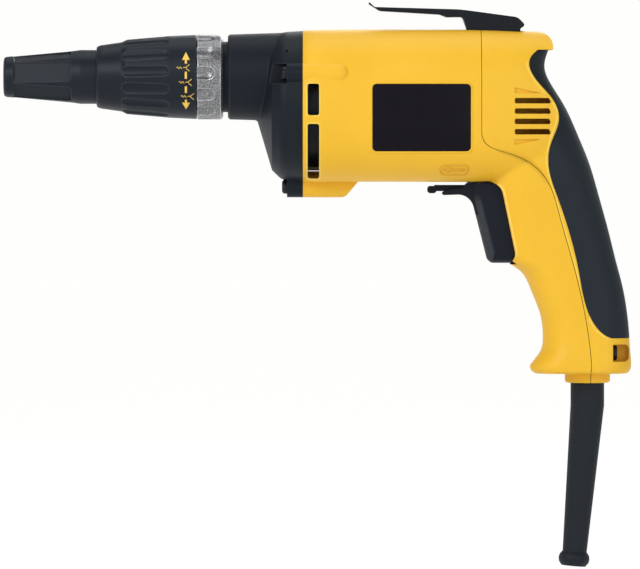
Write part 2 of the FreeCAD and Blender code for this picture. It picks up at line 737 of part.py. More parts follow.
def gear_case():
    neck = turned([(CASE_X, 0), (CASE_X, NECK_FRONT_R - NECK_CHAMFER), (CASE_X + NECK_CHAMFER, NECK_FRONT_R),
                   (CASE_END - LOOSE_GAP, NECK_REAR_R), (CASE_END - LOOSE_GAP, 0)])
    body = neck.fuse(dome()).removeSplitter()
    blend = [e for e in body.Edges if e.Curve.TypeId == "Part::GeomBSplineCurve"]
    body = body.makeFillet(NECK_BLEND, blend)
    for y, z in CASE_BOLTS:
        body = body.fuse(bolt_boss(y, z, BOSS_R, HEAD_SEAT_X, CASE_END))
    for y, z in CASE_BOLTS:
        body = body.cut(cylinder_x(CHANNEL_R, CASE_X, HEAD_SEAT_X, y, z))
        body = body.cut(cylinder_x(CASE_SCREW_R + SCREW_HOLE_GAP, HEAD_SEAT_X, CASE_END, y, z))
    side_y, side_z = CASE_BOLTS[0]
    pocket_y = side_y - CHANNEL_R - CHANNEL_SINK
    pocket = block(CASE_X, HEAD_SEAT_X, pocket_y, FAR, side_z - CHANNEL_R, side_z + CHANNEL_R)
    body = body.cut(both_sides(pocket))
    tube = cylinder_x(TUBE_R, RING_X, CASE_X).fuse(cylinder_x(TUBE_FRONT_R, TUBE_X, RING_X))
    groove_x = (TUBE_X + RING_X) / 2
    groove_r = TUBE_FRONT_R + LOOSE_GAP - SEAT_GAP - 2 * O_RING_R - SEAT_GAP
    half = O_RING_R + SEAT_GAP
    tube = tube.cut(tube_x(TUBE_R, groove_r, groove_x - half, groove_x + half))
    body = body.fuse(tube)
    body = body.cut(cylinder_x(SPINDLE_SOCKET_R + LOOSE_GAP, TUBE_X, RING_X))
    body = body.cut(cylinder_x(BUSH_R + SEAT_GAP, RING_X, BUSH_END))
    chamber_r = GEAR_MODULE * (GEAR_TEETH / 2 + 1) + LOOSE_GAP * 2
    chamber = cylinder_x(chamber_r, BUSH_END, PLATE_X)
    pinion_r = GEAR_MODULE * (PINION_TEETH / 2 + 2) + LOOSE_GAP * 2
    pinion_room = cylinder_x(pinion_r, GEAR_X - PINION_OVERRUN - LOOSE_GAP, PLATE_X, 0, MOTOR_Z)
    seat = cylinder_x(PLATE_R + SEAT_GAP, PLATE_X, CASE_END, 0, MOTOR_Z)
    pin_start = V(CASE_END - PIN_HOLE_SETBACK, PIN_HOLE_FLOOR_Y, PIN_HOLE_Z)
    pin_hole = Part.makeCylinder(PIN_HOLE_R, FAR, pin_start, V(0, 1, 0))
    return body.cut(chamber).cut(pinion_room).cut(seat).cut(both_sides(pin_hole))


def gear_case_screws():
    screw = pan_screw(CASE_SCREW_HEAD_R, CASE_SCREW_HEAD, CASE_SCREW_R, LUG_LENGTH + CASE_SCREW_GRIP)
    return Part.makeCompound([placed(screw, HEAD_SEAT_X, y, z) for y, z in CASE_BOLTS])


def spindle_bush():
    return tube_x(BUSH_R, SPINDLE_R + RUN_GAP, RING_X, BUSH_END)


def dogs(x0, x1, start):
    piece = sector(DOG_INNER_R, CLUTCH_FLANGE_R - SEAT_GAP, x0, x1, start - DOG_ANGLE / 2, DOG_ANGLE)
    return around_x(piece, DOG_COUNT).Solids


def spindle():
    tail_end = CASE_END - CLUTCH_PUSH - LOOSE_GAP
    body = turned([
        (SPINDLE_X, 0), (SPINDLE_X, SPINDLE_SOCKET_R), (RING_X - CLUTCH_PUSH - LOOSE_GAP, SPINDLE_SOCKET_R),
        (RING_X - CLUTCH_PUSH - LOOSE_GAP, SPINDLE_R), (FLANGE_X, SPINDLE_R), (FLANGE_X, CLUTCH_FLANGE_R),
        (CLUTCH_FACE_X, CLUTCH_FLANGE_R), (CLUTCH_FACE_X, SPRING_POCKET_R),
        (CLUTCH_FACE_X - SPRING_POCKET_DEPTH, SPRING_POCKET_R),
        (CLUTCH_FACE_X - SPRING_POCKET_DEPTH, SPINDLE_TAIL_R), (tail_end, SPINDLE_TAIL_R), (tail_end, 0)])
    body = body.fuse(dogs(CLUTCH_FACE_X - 1, CLUTCH_FACE_X + DOG_HEIGHT, 0))
    socket = hexagon(HEX_FLATS + 2 * HEX_GAP, SPINDLE_X, SPINDLE_X + BIT_SHANK_LENGTH)
    return body.cut(socket).cut(clip_groove(SEAT_GAP))


def clip_groove(gap):
    x = TUBE_X - CLUTCH_PUSH - 2 * LOOSE_GAP - CLIP_WIRE
    depth = SPINDLE_SOCKET_R - CLIP_WIRE * 0.6 - gap
    return tube_x(SPINDLE_SOCKET_R + CLIP_WIRE * 0.4, depth, x - gap, x + CLIP_WIRE + gap)


def bit_holder_clip():
    ring = clip_groove(0)
    half = CLIP_WIRE * 1.2
    return ring.cut(block(0, CASE_X, -half, half, 0, RING_R))


def bit_holder():
    edge = 0.8
    body = turned([(BIT_HOLDER_SETBACK, 0), (BIT_HOLDER_SETBACK, BIT_HOLDER_R - edge),
                   (BIT_HOLDER_SETBACK + edge, BIT_HOLDER_R), (SPINDLE_X - edge, BIT_HOLDER_R),
                   (SPINDLE_X, BIT_HOLDER_R - edge), (SPINDLE_X, 0)])
    body = body.fuse(hexagon(HEX_FLATS, SPINDLE_X - 1, SPINDLE_X + BIT_SHANK_LENGTH - LOOSE_GAP))
    socket_end = BIT_HOLDER_SETBACK + BIT_SOCKET_DEPTH
    socket = hexagon(HEX_FLATS + 2 * HEX_GAP, BIT_HOLDER_SETBACK, socket_end)
    return body.cut(socket).cut(cylinder_x(MAGNET_R + SEAT_GAP, socket_end, socket_end + MAGNET_LENGTH))


def bit_magnet():
    x = BIT_HOLDER_SETBACK + BIT_SOCKET_DEPTH
    return cylinder_x(MAGNET_R, x, x + MAGNET_LENGTH)


def clutch_spring():
    mean_r = (SPINDLE_TAIL_R + SPRING_POCKET_R) / 2
    return coil_spring(mean_r, SPRING_WIRE, CLUTCH_FACE_X - SPRING_POCKET_DEPTH, GEAR_X, SPRING_TURNS)


def drive_gear():
    body = gear(GEAR_TEETH, -TOOTH_SHIFT, 0.0, GEAR_X, GEAR_END, 0.0, 180.0 + 180.0 / GEAR_TEETH)
    body = body.fuse(cylinder_x(GEAR_HUB_R, GEAR_X, CASE_END))
    body = body.fuse(dogs(GEAR_X - DOG_HEIGHT, GEAR_X + 1, 180.0 / DOG_COUNT))
    return body.cut(cylinder_x(SPINDLE_TAIL_R + RUN_GAP, GEAR_X - DOG_HEIGHT, CASE_END))


def gear_bush():
    return tube_x(GEAR_HUB_R + RUN_GAP + GEAR_BUSH_WALL, GEAR_HUB_R + RUN_GAP, PLATE_X, CASE_END)


def bearing_plate():
    body = cylinder_x(PLATE_R, PLATE_X, CASE_END, 0, MOTOR_Z)
    body = body.cut(cylinder_x(GEAR_HUB_R + RUN_GAP + GEAR_BUSH_WALL + SEAT_GAP, PLATE_X, CASE_END))
    body = body.cut(cylinder_x(JOURNAL_R + LOOSE_GAP, PLATE_X, CASE_END, 0, MOTOR_Z))
    return body.cut(cylinder_x(BEARING_R + SEAT_GAP, CASE_END - BEARING_WIDTH, CASE_END, 0, MOTOR_Z))


def ball_bearing(x):
    ring = tube_x(BEARING_R, JOURNAL_R + RUN_GAP, x, x + BEARING_WIDTH, 0, MOTOR_Z)
    track = (BEARING_R + JOURNAL_R) / 2
    shield = tube_x(track + 0.9, track - 0.9, x, x + BEARING_WIDTH * 0.1, 0, MOTOR_Z)
    return ring.cut(shield).cut(placed(shield, BEARING_WIDTH * 0.9, 0, 0))


def front_bearing():
    return ball_bearing(CASE_END - BEARING_WIDTH)


def rear_bearing():
    return ball_bearing(REAR_BEARING_X)


# Motor

def armature_shaft():
    pinion_x = GEAR_X - PINION_OVERRUN
    body = gear(PINION_TEETH, TOOTH_SHIFT, TIP_TRIM, pinion_x, PLATE_X, MOTOR_Z, 0.0)
    shaft_x = CASE_END + LOOSE_GAP
    shaft_end = REAR_BEARING_X - LOOSE_GAP
    rod = turned([
        (PLATE_X, 0), (PLATE_X, JOURNAL_R), (shaft_x, JOURNAL_R), (shaft_x, SHAFT_R), (shaft_end, SHAFT_R),
        (shaft_end, JOURNAL_R), (BEARING_END, JOURNAL_R), (BEARING_END, 0)], MOTOR_Z)
    return body.fuse(rod)


def armature_core():
    outer = STATOR_BORE_R - AIR_GAP
    body = tube_x(outer, SHAFT_R + SEAT_GAP, STATOR_X, STATOR_END)
    half = ARMATURE_SLOT_WIDTH / 2
    slot = block(STATOR_X, STATOR_END, -half, half, outer - ARMATURE_SLOT_DEPTH, outer + 1)
    return placed(body.cut(around_x(slot, ARMATURE_SLOTS)), 0, 0, MOTOR_Z)


def armature_windings():
    edge = WINDING_LENGTH * 0.3
    inner = SHAFT_R + SEAT_GAP
    head = turned([(0, inner), (0, WINDING_R), (WINDING_LENGTH - edge, WINDING_R),
                   (WINDING_LENGTH, WINDING_R - edge), (WINDING_LENGTH, inner)])
    front = head.copy()
    front.rotate(V(0, 0, 0), V(0, 0, 1), 180)
    return Part.makeCompound([placed(front, STATOR_X, 0, MOTOR_Z), placed(head, STATOR_END, 0, MOTOR_Z)])


def commutator():
    riser_end = COMMUTATOR_X + RISER_LENGTH
    inner = SHAFT_R + SEAT_GAP
    return turned([
        (COMMUTATOR_X, inner), (COMMUTATOR_X, RISER_R), (riser_end, RISER_R), (riser_end, COMMUTATOR_R),
        (COMMUTATOR_END, COMMUTATOR_R), (COMMUTATOR_END, inner)], MOTOR_Z)


def cooling_fan():
    inner = SHAFT_R + SEAT_GAP
    fan_end = FAN_X + FAN_WIDTH
    hub_r = SHAFT_R * 2
    body = turned([(FAN_X, inner), (FAN_X, FAN_R), (FAN_X + FAN_BACK, FAN_R), (FAN_X + FAN_BACK, hub_r),
                   (fan_end, hub_r), (fan_end, inner)])
    half = FAN_BLADE / 2
    blade = block(FAN_X, fan_end, -half, half, hub_r - 1, FAN_R - 1)
    body = body.fuse(around_x(blade, FAN_BLADES).Solids)
    return placed(body, 0, 0, MOTOR_Z)


def shroud_r():
    return FAN_R + 2 * LOOSE_GAP + SHROUD_WALL


def fan_baffle():
    x = STATOR_X - COIL_END - LOOSE_GAP - BAFFLE_THICKNESS
    plate = tube_x(BAFFLE_R, BAFFLE_HOLE_R, x, x + BAFFLE_THICKNESS, 0, MOTOR_Z)
    start = 270 - SHROUD_ANGLE / 2
    end = x + BAFFLE_THICKNESS
    outer = shroud_r()
    shroud = sector(outer - SHROUD_WALL, outer, FAN_X - LOOSE_GAP, end, start, SHROUD_ANGLE, MOTOR_Z)
    foot = sector(BAFFLE_R - SHROUD_WALL, outer, x, end, start, SHROUD_ANGLE, MOTOR_Z)
    return plate.fuse([shroud, foot]).removeSplitter()


def stator_core():
    body = tube_x(STATOR_R, STATOR_BORE_R, STATOR_X, STATOR_END, 0, MOTOR_Z)
    sweep = 180 - 2 * POLE_HALF_ANGLE
    window = sector(STATOR_BORE_R - 1, STATOR_WINDOW_R, STATOR_X, STATOR_END, -sweep / 2, sweep, MOTOR_Z)
    return body.cut(window).cut(mirrored_y(window))


def field_coils():
    gap = 0.25
    inner = STATOR_BORE_R + gap
    outer = STATOR_WINDOW_R - gap
    hole = POLE_HALF_ANGLE + 1
    reach = POLE_HALF_ANGLE + COIL_WIDTH_ANGLE
    x0, x1 = STATOR_X - gap, STATOR_END + gap
    coil = sector(inner, outer, STATOR_X - COIL_END, STATOR_END + COIL_END, 90 - reach, 2 * reach, MOTOR_Z)
    coil = coil.cut(sector(inner - 1, outer + 1, x0, x1, 90 - hole, 2 * hole, MOTOR_Z))
    other = coil.copy()
    other.rotate(V(0, 0, MOTOR_Z), V(1, 0, 0), 180)
    return Part.makeCompound([coil, other])


def brush_x():
    return (COMMUTATOR_X + RISER_LENGTH + COMMUTATOR_END) / 2


def barrel_inside_y():
    """Half width inside the barrel beside the brushes."""
    front, rear = BARREL_STATIONS[3], BARREL_STATIONS[4]
    share = (brush_x() - CASE_END - front[0]) / (rear[0] - front[0])
    return front[1] + (rear[1] - front[1]) * share - HOUSING_WALL


def brush_box(grow, y0, y1):
    half_x = BRUSH_X_SIZE / 2 + grow
    half_z = BRUSH_Z_SIZE / 2 + grow
    return block(brush_x() - half_x, brush_x() + half_x, y0, y1, MOTOR_Z - half_z, MOTOR_Z + half_z)


def carbon_brushes():
    brush = brush_box(0, COMMUTATOR_R * 0.8, COMMUTATOR_R + BRUSH_LENGTH)
    return both_sides(brush.cut(cylinder_x(COMMUTATOR_R + BRUSH_WEAR_GAP, COMMUTATOR_X, SEAM_X, 0, MOTOR_Z)))


def holder_end():
    return barrel_inside_y() - LOOSE_GAP


def brush_holders():
    y0 = COMMUTATOR_R + HOLDER_STANDOFF
    box = brush_box(HOLDER_WALL + SEAT_GAP, y0, holder_end())
    return both_sides(box.cut(brush_box(SEAT_GAP, y0, holder_end() - HOLDER_WALL)))


def brush_springs():
    y0 = COMMUTATOR_R + BRUSH_LENGTH
    y1 = holder_end() - HOLDER_WALL
    half = BRUSH_X_SIZE / 2 - LOOSE_GAP
    third = BRUSH_Z_SIZE / 3
    step = (y1 - y0 - BRUSH_SPRING_STRIP) / BRUSH_SPRING_FOLDS
    folds = []
    for i in range(BRUSH_SPRING_FOLDS):
        side = half if i % 2 else -half
        near = y0 + i * step
        far = near + step
        strip = BRUSH_SPRING_STRIP
        corners = [(-side, far), (-side, far + strip), (side, near + strip), (side, near)]
        points = [V(brush_x() + x, y, MOTOR_Z - third) for x, y in corners]
        folds.append(Part.Face(Part.makePolygon(points + points[:1])).extrude(V(0, 0, 2 * third)))
    return both_sides(folds[0].fuse(folds[1:]))


# Housing

def barrel(inset):
    wires = []
    for x, half, top, bottom, corner in BARREL_STATIONS:
        a = half - inset
        r = corner - inset
        corners = [(a, top - inset, r), (-a, top - inset, r), (-a, bottom + inset, r), (a, bottom + inset, r)]
        wires.append(rounded_wire(corners, lambda p, q, x=x: V(CASE_END + x, p, q)))
    return Part.makeLoft(wires, True, False)


def handle(inset):
    wires = []
    for z, front, rear, half in HANDLE_STATIONS:
        a, b, c = front + inset, rear - inset, half - inset
        r = min(HANDLE_CORNER_SHARE * c, 0.44 * (b - a))
        corners = [(a, c, r), (b, c, r), (b, -c, r), (a, -c, r)]
        wires.append(rounded_wire(corners, lambda p, q, z=z: V(p, q, z)))
    return Part.makeLoft(wires, True, False)


def region(edges):
    """Prism over all Y of a side-view outline."""
    return Part.Face(Part.Wire(edges)).extrude(V(0, FAR, 0)).translate(V(0, -FAR / 2, 0))


def behind_seam():
    turn = V(SEAM_X, 0, SEAM_TURN_Z)
    points = [turn] + [V(x, 0, z) for x, z in SEAM_CURVE]
    curve = Part.BSplineCurve()
    curve.interpolate(points)
    corners = [points[-1], V(points[-1].x, 0, -FAR), V(2 * FAR, 0, -FAR), V(2 * FAR, 0, FAR),
               V(SEAM_X, 0, FAR), turn]
    lines = [Part.makeLine(corners[i], corners[i + 1]) for i in range(len(corners) - 1)]
    return region([curve.toShape()] + lines)


def grip_region():
    points = [V(x, 0, z) for x, z in GRIP_EDGE]
    curve = Part.BSplineCurve()
    curve.interpolate(points)
    corners = [points[-1], V(FAR, 0, points[-1].z), V(FAR, 0, points[0].z), points[0]]
    lines = [Part.makeLine(corners[i], corners[i + 1]) for i in range(len(corners) - 1)]
    return region([curve.toShape()] + lines)


def upper_body(inset):
    """Barrel that ends at the grip's edge and in the rounded tail above it."""
    tail_x = TAIL_X - inset
    body = barrel(inset).cut(grip_region().translate(V(-inset, 0, inset / 2)))
    body = body.cut(block(tail_x, FAR, -FAR, FAR, GRIP_EDGE[0][1], FAR))
    x = tail_x - TAIL_CORNER_R
    z = BARREL_STATIONS[-1][2] - inset - TAIL_CORNER_R
    corner = block(x, FAR, -FAR, FAR, z, FAR)
    return body.cut(corner.cut(Part.makeCylinder(TAIL_CORNER_R, 2 * FAR, V(x, -FAR, z), V(0, 1, 0))))


def cavity(wall):
    hollow = handle(wall).common(block(0, FAR, -FAR, FAR, HANDLE_FOOT_Z + FLOOR_THICKNESS, FAR))
    return upper_body(wall).fuse(hollow)


def cord_neck():
    low = HANDLE_FOOT_Z - NECK_DROP
    neck = upright(NECK_R, low, HANDLE_FOOT_Z + FLOOR_THICKNESS, CORD_X)
    return neck.makeFillet(CORD_NECK_EDGE_R, [e for e in neck.Edges if e.BoundBox.ZMax < low + 0.01])


def outer_body():
    grip_handle = handle(0)
    foot = [e for e in grip_handle.Edges if e.BoundBox.ZMax < HANDLE_FOOT_Z + 0.01]
    grip_handle = grip_handle.makeFillet(HANDLE_FOOT_R, foot)
    return upper_body(0).fuse(grip_handle).fuse(cord_neck())


def foot_block():
    """Solid foot of the handle, with the room for the cord and its protector."""
    top = POCKET_TOP + FLOOR_THICKNESS
    return handle(1.0).common(block(CORD_X - FOOT_BLOCK_DEPTH, FAR, -FAR, FAR, HANDLE_FOOT_Z + 1, top))


def cord_room():
    floor_z = HANDLE_FOOT_Z + FLOOR_THICKNESS
    room = upright(PROTECTOR_R + SEAT_GAP, HANDLE_FOOT_Z - NECK_DROP, floor_z, CORD_X)
    flange = upright(PROTECTOR_FLANGE_R + SEAT_GAP, floor_z, floor_z + PROTECTOR_FLANGE + SEAT_GAP, CORD_X)
    way = upright(CORD_R + LOOSE_GAP, floor_z, SWITCH_TOP - SWITCH_HEIGHT, CORD_X)
    return room.fuse([flange, way])


def vent(x0, x1, z_top, height, radius, slant=0.0):
    z = z_top - height
    return [(x0, z_top, radius), (x1, z_top, radius), (x1 + slant, z, radius), (x0, z, radius)]


def front_vents():
    x0 = CASE_END + FRONT_VENT_X
    x1 = x0 + FRONT_VENT_WIDTH
    lower_top = UPPER_VENT_TOP - UPPER_VENT_LENGTH - VENT_BRIDGE
    near = BARREL_STATIONS[0][1] / 4
    slots = [side_plate(vent(x0, x1, UPPER_VENT_TOP, UPPER_VENT_LENGTH, FRONT_VENT_R), near, FAR),
             side_plate(vent(x0, x1, lower_top, LOWER_VENT_LENGTH, FRONT_VENT_R), near, FAR)]
    return both_sides(*slots)


def front_vent_rib():
    """Rib on the floor between the front vents of both sides."""
    half = VENT_RIB / 2
    floor = BARREL_STATIONS[0][3] + 1
    x1 = CASE_END + FRONT_VENT_X + 2 * FRONT_VENT_WIDTH
    return block(CASE_END, x1, -half, half, floor, MOTOR_Z - shroud_r() - LOOSE_GAP)


def rear_vent_top(index):
    return REAR_VENT_TOP - index * REAR_VENT_PITCH


def rear_vent(index):
    x0 = SEAM_X + REAR_VENT_X
    corners = vent(x0, x0 + REAR_VENT_LENGTH, rear_vent_top(index), REAR_VENT_HEIGHT, REAR_VENT_HEIGHT * 0.3,
                   REAR_VENT_SLANT)
    return side_plate(corners, SHAFT_R, FAR)


def rear_vents():
    return both_sides(*[rear_vent(i) for i in range(REAR_VENT_COUNT)])


def rear_vent_rib():
    """Wall between the rear vents of both sides."""
    half = VENT_RIB / 2
    x0 = SEAM_X + REAR_VENT_X - REAR_VENT_HEIGHT
    return cavity(1.0).common(block(x0, FAR, -half, half, rear_vent_top(REAR_VENT_COUNT), rear_vent_top(-1)))


def blind_vents():
    """Shallow wedges above and below the rear vents."""
    x0 = SEAM_X + REAR_VENT_X
    x1 = x0 + BLIND_VENT_LENGTH
    upper = rear_vent_top(-1)
    lower = rear_vent_top(REAR_VENT_COUNT)
    wedges = [[(x0, upper, 0), (x1, upper - REAR_VENT_HEIGHT, 0), (x0, upper - REAR_VENT_HEIGHT, 0)],
              [(x0, lower, 0), (x1, lower, 0), (x0, lower - REAR_VENT_HEIGHT, 0)]]
    core = barrel(BLIND_VENT_DEPTH)
    return both_sides(*[side_plate(wedge, SHAFT_R, FAR).cut(core) for wedge in wedges])


def hook_seat():
    half = HOOK_HALF_WIDTH + SEAT_GAP
    return block(HOOK_FRONT_X - SEAT_GAP, HOOK_REAR_X + SEAT_GAP, -half, half, HOOK_SEAT_Z, FAR)


def hook_boss(x):
    return upright(HOOK_SCREW_R * 2, HOOK_SEAT_Z - HOOK_SCREW_GRIP - FLOOR_THICKNESS, HOOK_SEAT_Z, x)


def hook_screw_hole(x):
    return upright(HOOK_SCREW_R + SEAT_GAP, HOOK_SEAT_Z - HOOK_SCREW_GRIP - SEAT_GAP, HOOK_SEAT_Z, x)


def pocket_z():
    return POCKET_TOP - POCKET_HEIGHT / 2


def cover_screw_pockets():
    corners = vent(POCKET_X, POCKET_X + POCKET_LENGTH, POCKET_TOP, POCKET_HEIGHT, POCKET_CORNER_R)
    corners[0] = (*corners[0][:2], 0)
    corners[3] = (*corners[3][:2], 0)
    return both_sides(side_plate(corners, POCKET_FLOOR_Y, FAR))


def cover_screw_holes(gap):
    x0 = POCKET_X - COVER_SCREW_GRIP - SEAT_GAP
    return both_sides(cylinder_x(COVER_SCREW_R + gap, x0, POCKET_X, COVER_SCREW_Y, pocket_z()))


def trigger_opening():
    """Side-view cutout for the trigger, and the narrower room behind it that the trigger moves into."""
    top = TRIGGER_TOP + TRIGGER_GAP
    bottom = TRIGGER_BOTTOM - TRIGGER_GAP
    corners = [(LEVER_TIP_X, top, 0), (OPENING_REAR_TOP, top, OPENING_TOP_R),
               (OPENING_REAR_BOTTOM, bottom, OPENING_BOTTOM_R), (LEVER_TIP_X, bottom, 0)]
    half = TRIGGER_HALF_WIDTH + TRIGGER_GAP
    reach = OPENING_REAR_BOTTOM + TRIGGER_INSERT + TRIGGER_TRAVEL + TRIGGER_GAP
    return side_plate(corners, -FAR, FAR).fuse(block(LEVER_TIP_X, reach, -half, half, bottom, top))


def stator_ribs():
    x0 = STATOR_X - COIL_END - LOOSE_GAP
    half = RIB_WIDTH / 2
    bar = block(x0, STATOR_END, -half, half, STATOR_R / 2, FAR)
    bore = cylinder_x(STATOR_R + SEAT_GAP, x0, STATOR_END, 0, MOTOR_Z)
    room = barrel(1.0)
    return [placed(rib, 0, 0, MOTOR_Z).common(room).cut(bore) for rib in around_x(bar, 4, 45).Solids]


def rear_bearing_web():
    web = barrel(1.0).common(block(REAR_BEARING_X, SEAM_X, -FAR, FAR, -FAR, FAR))
    web = web.cut(cylinder_x(BEARING_R + SEAT_GAP, REAR_BEARING_X, BEARING_END, 0, MOTOR_Z))
    hole = sector(BEARING_R + HOUSING_WALL, STATOR_R, REAR_BEARING_X, SEAM_X, WEB_HOLE_START,
                  WEB_HOLE_ANGLE, MOTOR_Z)
    for turn in range(4):
        opening = hole.copy()
        opening.rotate(V(0, 0, MOTOR_Z), V(1, 0, 0), 90 * turn)
        web = web.cut(opening)
    return web


def switch_shelves():
    x0 = SWITCH_X - FLOOR_THICKNESS
    x1 = SWITCH_X + SWITCH_LENGTH / 4
    floor = SWITCH_TOP - SWITCH_HEIGHT
    room = handle(1.0)
    upper = block(x0, x1, -FAR, FAR, SWITCH_TOP + SEAT_GAP, SWITCH_TOP + SHELF)
    lower = block(x0, x1, -FAR, FAR, floor - SHELF, floor - SEAT_GAP)
    return [room.common(upper), room.common(lower)]


def clamp_pad_x():
    return CORD_X - CORD_R - LOOSE_GAP


def clamp_pad():
    half = CLAMP_HEIGHT / 2
    x1 = clamp_pad_x()
    return handle(1.0).common(block(x1 - CLAMP_SCREW_GRIP - 1, x1, -FAR, FAR, CLAMP_Z - half, CLAMP_Z + half))


def clamp_screw_holes(x0, x1, gap):
    return both_sides(cylinder_x(CLAMP_SCREW_R + gap, x0, x1, CLAMP_SCREW_Y, CLAMP_Z))


def pin_boss():
    boss_top = BARREL_STATIONS[0][3] + 2 * HOUSING_WALL
    return upright(LEVER_PIN_R * 2.2, LEVER_TOP + LOOSE_GAP, boss_top, LEVER_PIVOT_X)


def side_boss(y, z):
    length = SIDE_BOSS_LENGTH - BOSS_R
    boss = bolt_boss(y, z, BOSS_R, CASE_END, CASE_END + length)
    return boss.fuse(Part.makeSphere(BOSS_R, V(CASE_END + length, y, z)))


def foot_boss(y, z):
    end = CASE_END + FOOT_BOSS_LENGTH
    boss = bolt_boss(y, z, BOSS_R, CASE_END, end)
    low = z - BOSS_R
    high = MOTOR_Z - BARREL_STATIONS[0][1]
    outline = [(CASE_END, low, 0), (end - FOOT_BOSS_RAMP, low, FOOT_BOSS_ROUND), (end, high, 0),
               (end, MOTOR_Z, 0), (CASE_END, MOTOR_Z, 0)]
    return boss.common(side_plate(outline, -FAR, FAR))


def field_case():
    rear = behind_seam()
    case = outer_body().cut(rear).cut(cavity(HOUSING_WALL)).cut(trigger_opening())
    left, right, foot = CASE_BOLTS
    case = case.fuse([side_boss(*left), side_boss(*right), foot_boss(*foot)])
    case = case.fuse([rear_bearing_web(), hook_boss(HOOK_SCREW_X[0]), clamp_pad(), pin_boss()])
    case = case.fuse(stator_ribs() + [front_vent_rib()])
    case = case.fuse([piece.cut(rear) for piece in [foot_block()] + switch_shelves()])
    screw_end = CASE_END + CASE_SCREW_GRIP + SEAT_GAP
    cuts = [cylinder_x(CASE_SCREW_R + SEAT_GAP, CASE_END, screw_end, y, z) for y, z in CASE_BOLTS]
    cuts += [front_vents(), hook_seat(), hook_screw_hole(HOOK_SCREW_X[0]), cord_room()]
    cuts += [cover_screw_holes(SEAT_GAP)]
    cuts += [clamp_screw_holes(clamp_pad_x() - CLAMP_SCREW_GRIP - SEAT_GAP, clamp_pad_x(), SEAT_GAP)]
    cuts += [upright(LEVER_PIN_R + SEAT_GAP, LEVER_TOP, LEVER_TOP + LEVER_PIN_SET + SEAT_GAP, LEVER_PIVOT_X)]
    for cut in cuts:
        case = case.cut(cut)
    return case.removeSplitter()


def soft_grip():
    return handle(0).common(grip_region()).cut(handle(GRIP_THICKNESS))


def handle_cover():
    rear = behind_seam().translate(V(SEAM_GAP, 0, SEAM_GAP / 2))
    cover = outer_body().common(rear).cut(cavity(COVER_WALL))
    cover = cover.fuse([foot_block().common(rear), hook_boss(HOOK_SCREW_X[1]), rear_vent_rib()])
    cuts = [soft_grip(), rear_vents(), blind_vents(), hook_seat(), hook_screw_hole(HOOK_SCREW_X[1]),
            cord_room(), cover_screw_pockets(), cover_screw_holes(SCREW_HOLE_GAP)]
    for cut in cuts:
        cover = cover.cut(cut)
    return cover.removeSplitter()


def cover_screws():
    screw = pan_screw(COVER_SCREW_HEAD_R, COVER_SCREW_HEAD, COVER_SCREW_R, COVER_SCREW_GRIP)
    screw.rotate(V(0, 0, 0), V(0, 0, 1), 180)
    return both_sides(placed(screw, POCKET_X, COVER_SCREW_Y, pocket_z()))


# Switch, trigger and reverser

def trigger_rear_x(z):
    share = (TRIGGER_TOP - z) / (TRIGGER_TOP - TRIGGER_BOTTOM)
    return OPENING_REAR_TOP + TRIGGER_INSERT + (OPENING_REAR_BOTTOM - OPENING_REAR_TOP) * share


def trigger_pocket_x():
    return trigger_rear_x(PLUNGER_Z) - TRIGGER_POCKET_DEPTH


def trigger_front_x(z):
    share = (z - TRIGGER_BOTTOM) / (THROAT_Z - TRIGGER_BOTTOM)
    return TRIGGER_TOE_X + (THROAT_X - TRIGGER_TOE_X) * share


def trigger():
    half = TRIGGER_HALF_WIDTH
    body = side_plate([
        (TRIGGER_TOE_X, TRIGGER_BOTTOM, TRIGGER_TOE_R), (trigger_front_x(TRIGGER_TOP), TRIGGER_TOP, 0),
        (trigger_rear_x(TRIGGER_TOP), TRIGGER_TOP, OPENING_TOP_R),
        (trigger_rear_x(TRIGGER_BOTTOM), TRIGGER_BOTTOM, 0)], -half, half)
    middle = (TRIGGER_TOP + TRIGGER_BOTTOM) / 2
    reach = trigger_front_x(middle) + 1
    front = [e for e in body.Edges if e.BoundBox.YLength < 0.01 and e.CenterOfMass.x < reach
             and e.BoundBox.ZLength > THROAT_R]
    body = body.makeFillet(TRIGGER_EDGE_R, front)
    root = middle + THROAT_R / 2
    horn = HORN_OUTLINE + [(trigger_front_x(TRIGGER_TOP) + THROAT_R, TRIGGER_TOP, 0),
                           (trigger_front_x(root) + THROAT_R, root, 0), (trigger_front_x(root), root, 0),
                           (THROAT_X, THROAT_Z, THROAT_R)]
    body = body.fuse(side_plate(horn, -HORN_HALF_WIDTH, HORN_HALF_WIDTH))
    slot = block(LEVER_TIP_X, SWITCH_X, -SLOT_HALF_WIDTH, SLOT_HALF_WIDTH, SLOT_FLOOR, TRIGGER_TOP + 1)
    pocket = cylinder_x(TRIGGER_POCKET_R, trigger_pocket_x(), SWITCH_X, 0, PLUNGER_Z)
    plunger = cylinder_x(PLUNGER_R, trigger_pocket_x() - 1, SWITCH_X + PLUNGER_REACH, 0, PLUNGER_Z)
    return body.cut(slot).cut(pocket).fuse(plunger).removeSplitter()


def trigger_return_spring():
    mean_r = (PLUNGER_R + TRIGGER_POCKET_R) / 2
    x0 = trigger_pocket_x()
    return coil_spring(mean_r, TRIGGER_SPRING_WIRE, x0, SWITCH_X, TRIGGER_SPRING_TURNS, PLUNGER_Z)


def switch_body():
    body = block(SWITCH_X, SWITCH_X + SWITCH_LENGTH, -SWITCH_HALF_WIDTH, SWITCH_HALF_WIDTH,
                 SWITCH_TOP - SWITCH_HEIGHT, SWITCH_TOP)
    depth = PLUNGER_REACH + TRIGGER_TRAVEL + 1
    return body.cut(cylinder_x(PLUNGER_R + RUN_GAP, SWITCH_X, SWITCH_X + depth, 0, PLUNGER_Z))


